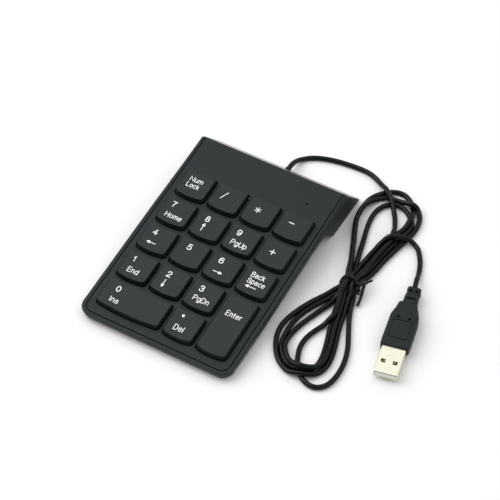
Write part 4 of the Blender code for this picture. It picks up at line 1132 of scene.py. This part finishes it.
def flat_shape(*outlines):
    bm = bmesh.new()
    for outline in outlines:
        bm.faces.new([bm.verts.new((x, y, 0)) for x, y in outline])
    return to_mesh(bm, "shape")


def arrow(tail, tip):
    """A straight shaft and a solid head."""
    width, head_width, head_length = 0.42, 1.9, 2.0
    start, end = Vector(tail), Vector(tip)
    ahead = (end - start).normalized()
    side = Vector((-ahead.y, ahead.x)) / 2
    neck = end - ahead * head_length
    shaft = (start + side * width, start - side * width, neck - side * width, neck + side * width)
    point = (neck + side * head_width, neck - side * head_width, end)
    return flat_shape(shaft, point)


def bar(centre, length, width, turn):
    """A straight stroke, turned by this many degrees."""
    ahead = Vector((cos(radians(turn)), sin(radians(turn))))
    side = Vector((-ahead.y, ahead.x)) * width / 2
    start, end = Vector(centre) - ahead * length / 2, Vector(centre) + ahead * length / 2
    return flat_shape((start - side, end - side, end + side, start + side))


SIGNS = {
    "divide": [bar((8.6, 8.5), 5.5, 0.38, 64)],
    "multiply": [bar((28.3, 8.35), 3.6, 0.36, turn) for turn in (90, 30, -30)],
    "minus": [bar((47.4, 9.0), 3.1, 0.5, 0)],
    "plus": [bar((47.5, -10.9), 3.3, 0.46, 0), bar((47.5, -10.9), 3.3, 0.46, 90)],
    "eight": [arrow((8.7, -16.0), (8.7, -10.9))],
    "four": [arrow((-7.0, -33.8), (-12.3, -33.8))],
    "six": [arrow((26.5, -34.0), (31.8, -34.0))],
    "two": [arrow((8.7, -49.4), (8.7, -54.6))],
    "backspace": [arrow((51.0, -34.2), (44.8, -34.2))],
    "decimal": [flat_shape(circle(0.75, 20, (27.3, -64.0)))],
}


def make_legend(name, cap):
    """The white print on a cap. Each stroke lies a hair above the last, so that no two share a plane."""
    flats = [stroke for text in WORDS.get(name, ()) for stroke in word(*text)] + SIGNS.get(name, [])
    surface = BVHTree.FromPolygons([CASE.inverted() @ v.co for v in cap.data.vertices],
                                   [tuple(p.vertices) for p in cap.data.polygons])
    bm = bmesh.new()
    for layer, flat in enumerate(flats):
        flat.transform(Matrix.Translation((*LEGEND_SHIFT, INK_STEP * layer)))
        bm.from_mesh(flat)
    grown = bmesh.ops.extrude_face_region(bm, geom=list(bm.faces))["geom"]
    raised = {v for v in grown if isinstance(v, bmesh.types.BMVert)}
    for v in bm.verts:
        hit = surface.ray_cast(Vector((v.co.x, v.co.y, 5.0)), Vector((0, 0, -1)))[0]
        v.co.z = (hit.z if hit else KEY_RISE) + (INK_THICK + v.co.z if v in raised else -INK_SUNK)
    add_piece(f"legend_{name}", mesh_of(bm), INK, f"key_{name}", CASE, sharp=30)


for key in KEYS:
    make_legend(key, make_cap(key))


# ---------------------------------------------------------------- under the keys

LINK_Z, DOME_FOOT_Z = -0.45, -2.28


def link_loop(width, length, bar_width, turn, cx, cy):
    """One link of a crossed pair: a rounded frame, tilted about its middle."""
    spin = Matrix.Translation((cx, cy, LINK_Z)) @ Matrix.Rotation(radians(turn), 4, "X")
    loops = []
    for inset, z in ((0.12, -0.40), (0.0, -0.28), (0.0, 0.28), (0.12, 0.40), (bar_width - 0.12, 0.40),
                     (bar_width, 0.28), (bar_width, -0.28), (bar_width - 0.12, -0.40)):
        a, b = width / 2 - inset, length / 2 - inset
        outline = rounded(((a, b), (-a, b), (-a, -b), (a, -b)), (max(0.9 - inset, 0.25),) * 4, 4)
        loops.append([spin @ Vector((x, y, z)) for x, y in outline])
    return loft(loops, ring=True)


def make_scissors_and_domes():
    """A crossed pair of links and a rubber dome under each key, each with a mesh of its own."""
    for name in KEYS:
        cx, cy = key_centre(name)
        pins = []
        for side in (-1, 1):
            pin = turned(((0.36, 4.3), (0.36, 6.3)), 12)
            pin.transform(Matrix.Translation((cx, cy, LINK_Z)) @ Matrix.Rotation(side * pi / 2, 4, "Y"))
            pins.append(pin)
        links = [link_loop(12.4, 11.0, 0.8, 15, cx, cy), link_loop(9.8, 11.0, 0.8, -15, cx, cy)]
        pair = add_piece(f"links_{name}", joined("links", links + pins), NYLON, "housing", CASE,
                         (f"scissor_{name}",), sharp=45)
        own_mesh(pair)
        dome = turned(((3.7, DOME_FOOT_Z), (3.5, -2.05), (3.3, -1.7), (2.3, -1.05), (1.9, -0.8), (1.8, -0.45),
                       (1.65, -0.24), (1.2, -0.2), (1.1, -0.32)), 24, (cx, cy))
        piece = add_piece(f"dome_{name}", dome, SILICONE, "housing", CASE, (), sharp=60)
        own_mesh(piece)


def make_dome_sheet():
    sheet = round_block((-39.2, 8.5, -2.6), (39.2, 99.2, -2.3), 0.12, 4)
    add_piece("dome_base_sheet", sheet, SILICONE, "housing", CASE, ("dome_sheet",))


def cross_screw(name, x, y, seat, head, shank, tip):
    """A pan-head screw with a cross recess, its head down."""
    tall, thread_pitch = head * 0.42, 0.45
    profile = ((head * 0.35, seat - tall), (head * 0.7, seat - tall * 0.9), (head * 0.93, seat - tall * 0.55),
               (head, seat - tall * 0.2), (head * 0.97, seat), (shank, seat))
    for k in range(int((tip - seat) / thread_pitch)):
        z = seat + 0.25 + k * thread_pitch
        profile += ((shank * 0.82, z), (shank, z + 0.2))
    mesh = turned(profile + ((shank * 0.7, tip - 0.2), (shank * 0.25, tip)), 24, (x, y))
    piece = add_piece(f"{name}_detailed", mesh, STEEL, "housing", CASE, (name,), sharp=30)
    for a, b in ((head * 0.55, head * 0.13), (head * 0.13, head * 0.55)):
        cut(piece, block((x - a, y - b, seat - tall - 0.3), (x + a, y + b, seat - tall * 0.35)), CASE)


def make_screws():
    for hand, side in HANDS:
        cross_screw(f"screw_rear_{hand}", side * REAR_SCREW[0], REAR_SCREW[1], -9.5, 1.9, 0.9, -2.4)
        cross_screw(f"screw_front_{hand}", side * FRONT_SCREW[0], FRONT_SCREW[1], -3.6, 1.6, 0.8, -0.7)


def make_pads():
    """Die-cut rubber pads with eased rims and a faint ring, level with the desk."""
    for hand, side in HANDS:
        for end, (x, y), top in (("front", FRONT_PAD, -4.2), ("rear", REAR_PAD, 0.0)):
            name = f"foot_{end}_{hand}"
            centre = CASE @ Vector((side * x, y, top)) / MM
            # the front pads end on the tilted underside, the rear ones flat inside the foot bar
            height, rise = (centre.z, tan(TILT)) if end == "front" else (1.0, 0.0)
            loops = []
            for r, z, slope in ((2.4, 0.12, 0), (2.7, 0.0, 0), (3.7, 0.0, 0), (3.92, 0.08, 0),
                                (PAD_RADIUS, 0.3, 0), (PAD_RADIUS, height, rise)):
                loops.append([(centre.x + px, centre.y + py, z + slope * py) for px, py in circle(r, 40)])
            add_piece(f"{name}_pad", loft(loops), RUBBER, "housing", WORLD, (name,), sharp=35)


def make_grommet():
    """The cord's short moulded sleeve through the rear wall."""
    wall = 64.9
    profile = ((1.5, wall - 7.2), (2.7, wall - 7.2), (2.7, wall - 6.0), (2.0, wall - 5.8), (1.62, wall + 0.1),
               (1.6, wall + 0.35), (1.52, wall + 0.55), (1.4, wall + 0.65))
    mesh = turned(profile, 28)
    mesh.transform(CORD_AXIS)
    add_piece("cord_grommet", mesh, RUBBER, "housing", WORLD, ("strain_relief",), sharp=40)


make_scissors_and_domes()
make_dome_sheet()
make_screws()
make_pads()
make_grommet()

for node, look in (("membrane", FILM), ("backplate", GALVANISED), ("circuit_board", MASK),
                   ("controller_chip", EPOXY), ("indicator_led", LENS)):
    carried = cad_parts[node]
    carried.data.materials.clear()
    carried.data.materials.append(look)


# ---------------------------------------------------------------- floor and light

def make_floor():
    mesh = flat_shape(circle(6000, 64))
    finish_mesh(mesh, WORLD)
    mesh.materials.append(floor_paper("desk_paper"))
    floor = new_object("desk", mesh)
    floor.location.z = -0.00002


def add_softbox(name, place, target, size, power):
    light = bpy.data.lights.new(name, "AREA")
    light.shape = "RECTANGLE"
    light.size = light.size_y = size
    light.energy = power
    lamp = new_object(name, light)
    lamp.location = place
    lamp.rotation_euler = (Vector(target) - Vector(place)).to_track_quat("-Z", "Y").to_euler()


def make_world():
    """White to the camera; for light and reflections dimmer low down and in front."""
    world = bpy.data.worlds.new("studio")
    bpy.context.scene.world = world
    world.use_nodes = True
    tree = world.node_tree
    direction = add_node(tree, "ShaderNodeTexCoord").outputs["Generated"]
    up = add_node(tree, "ShaderNodeSeparateXYZ", {0: direction}).outputs["Z"]
    height = add_node(tree, "ShaderNodeMapRange", {0: up, 1: 0.02, 2: 0.60, 3: 0.39, 4: 1.04}).outputs[0]
    front = add_node(tree, "ShaderNodeVectorMath", {0: direction, 1: (0.30, -0.95, 0)},
                     operation="DOT_PRODUCT").outputs["Value"]
    dimmed = add_node(tree, "ShaderNodeMapRange", {0: front, 1: 0.35, 2: 0.80, 3: 1.0, 4: 0.35}).outputs[0]
    both = add_node(tree, "ShaderNodeMath", {0: height, 1: dimmed}, operation="MULTIPLY").outputs[0]
    seen = add_node(tree, "ShaderNodeLightPath").outputs["Is Camera Ray"]
    strength = add_node(tree, "ShaderNodeMix", {0: seen, 2: both, 3: 1.0}).outputs[0]
    background = tree.nodes["Background"]
    background.inputs["Color"].default_value = (1, 1, 1, 1)
    tree.links.new(strength, background.inputs["Strength"])


make_floor()
add_softbox("left_key", (-0.95, -0.15, 0.95), (0.02, 0.0, 0.0), 0.95, 7.2)
add_softbox("overhead", (-0.38, 0.0, 1.2), (0.03, 0.03, 0.0), 0.26, 1.3)
make_world()
bpy.context.scene.view_settings.view_transform = "Standard"
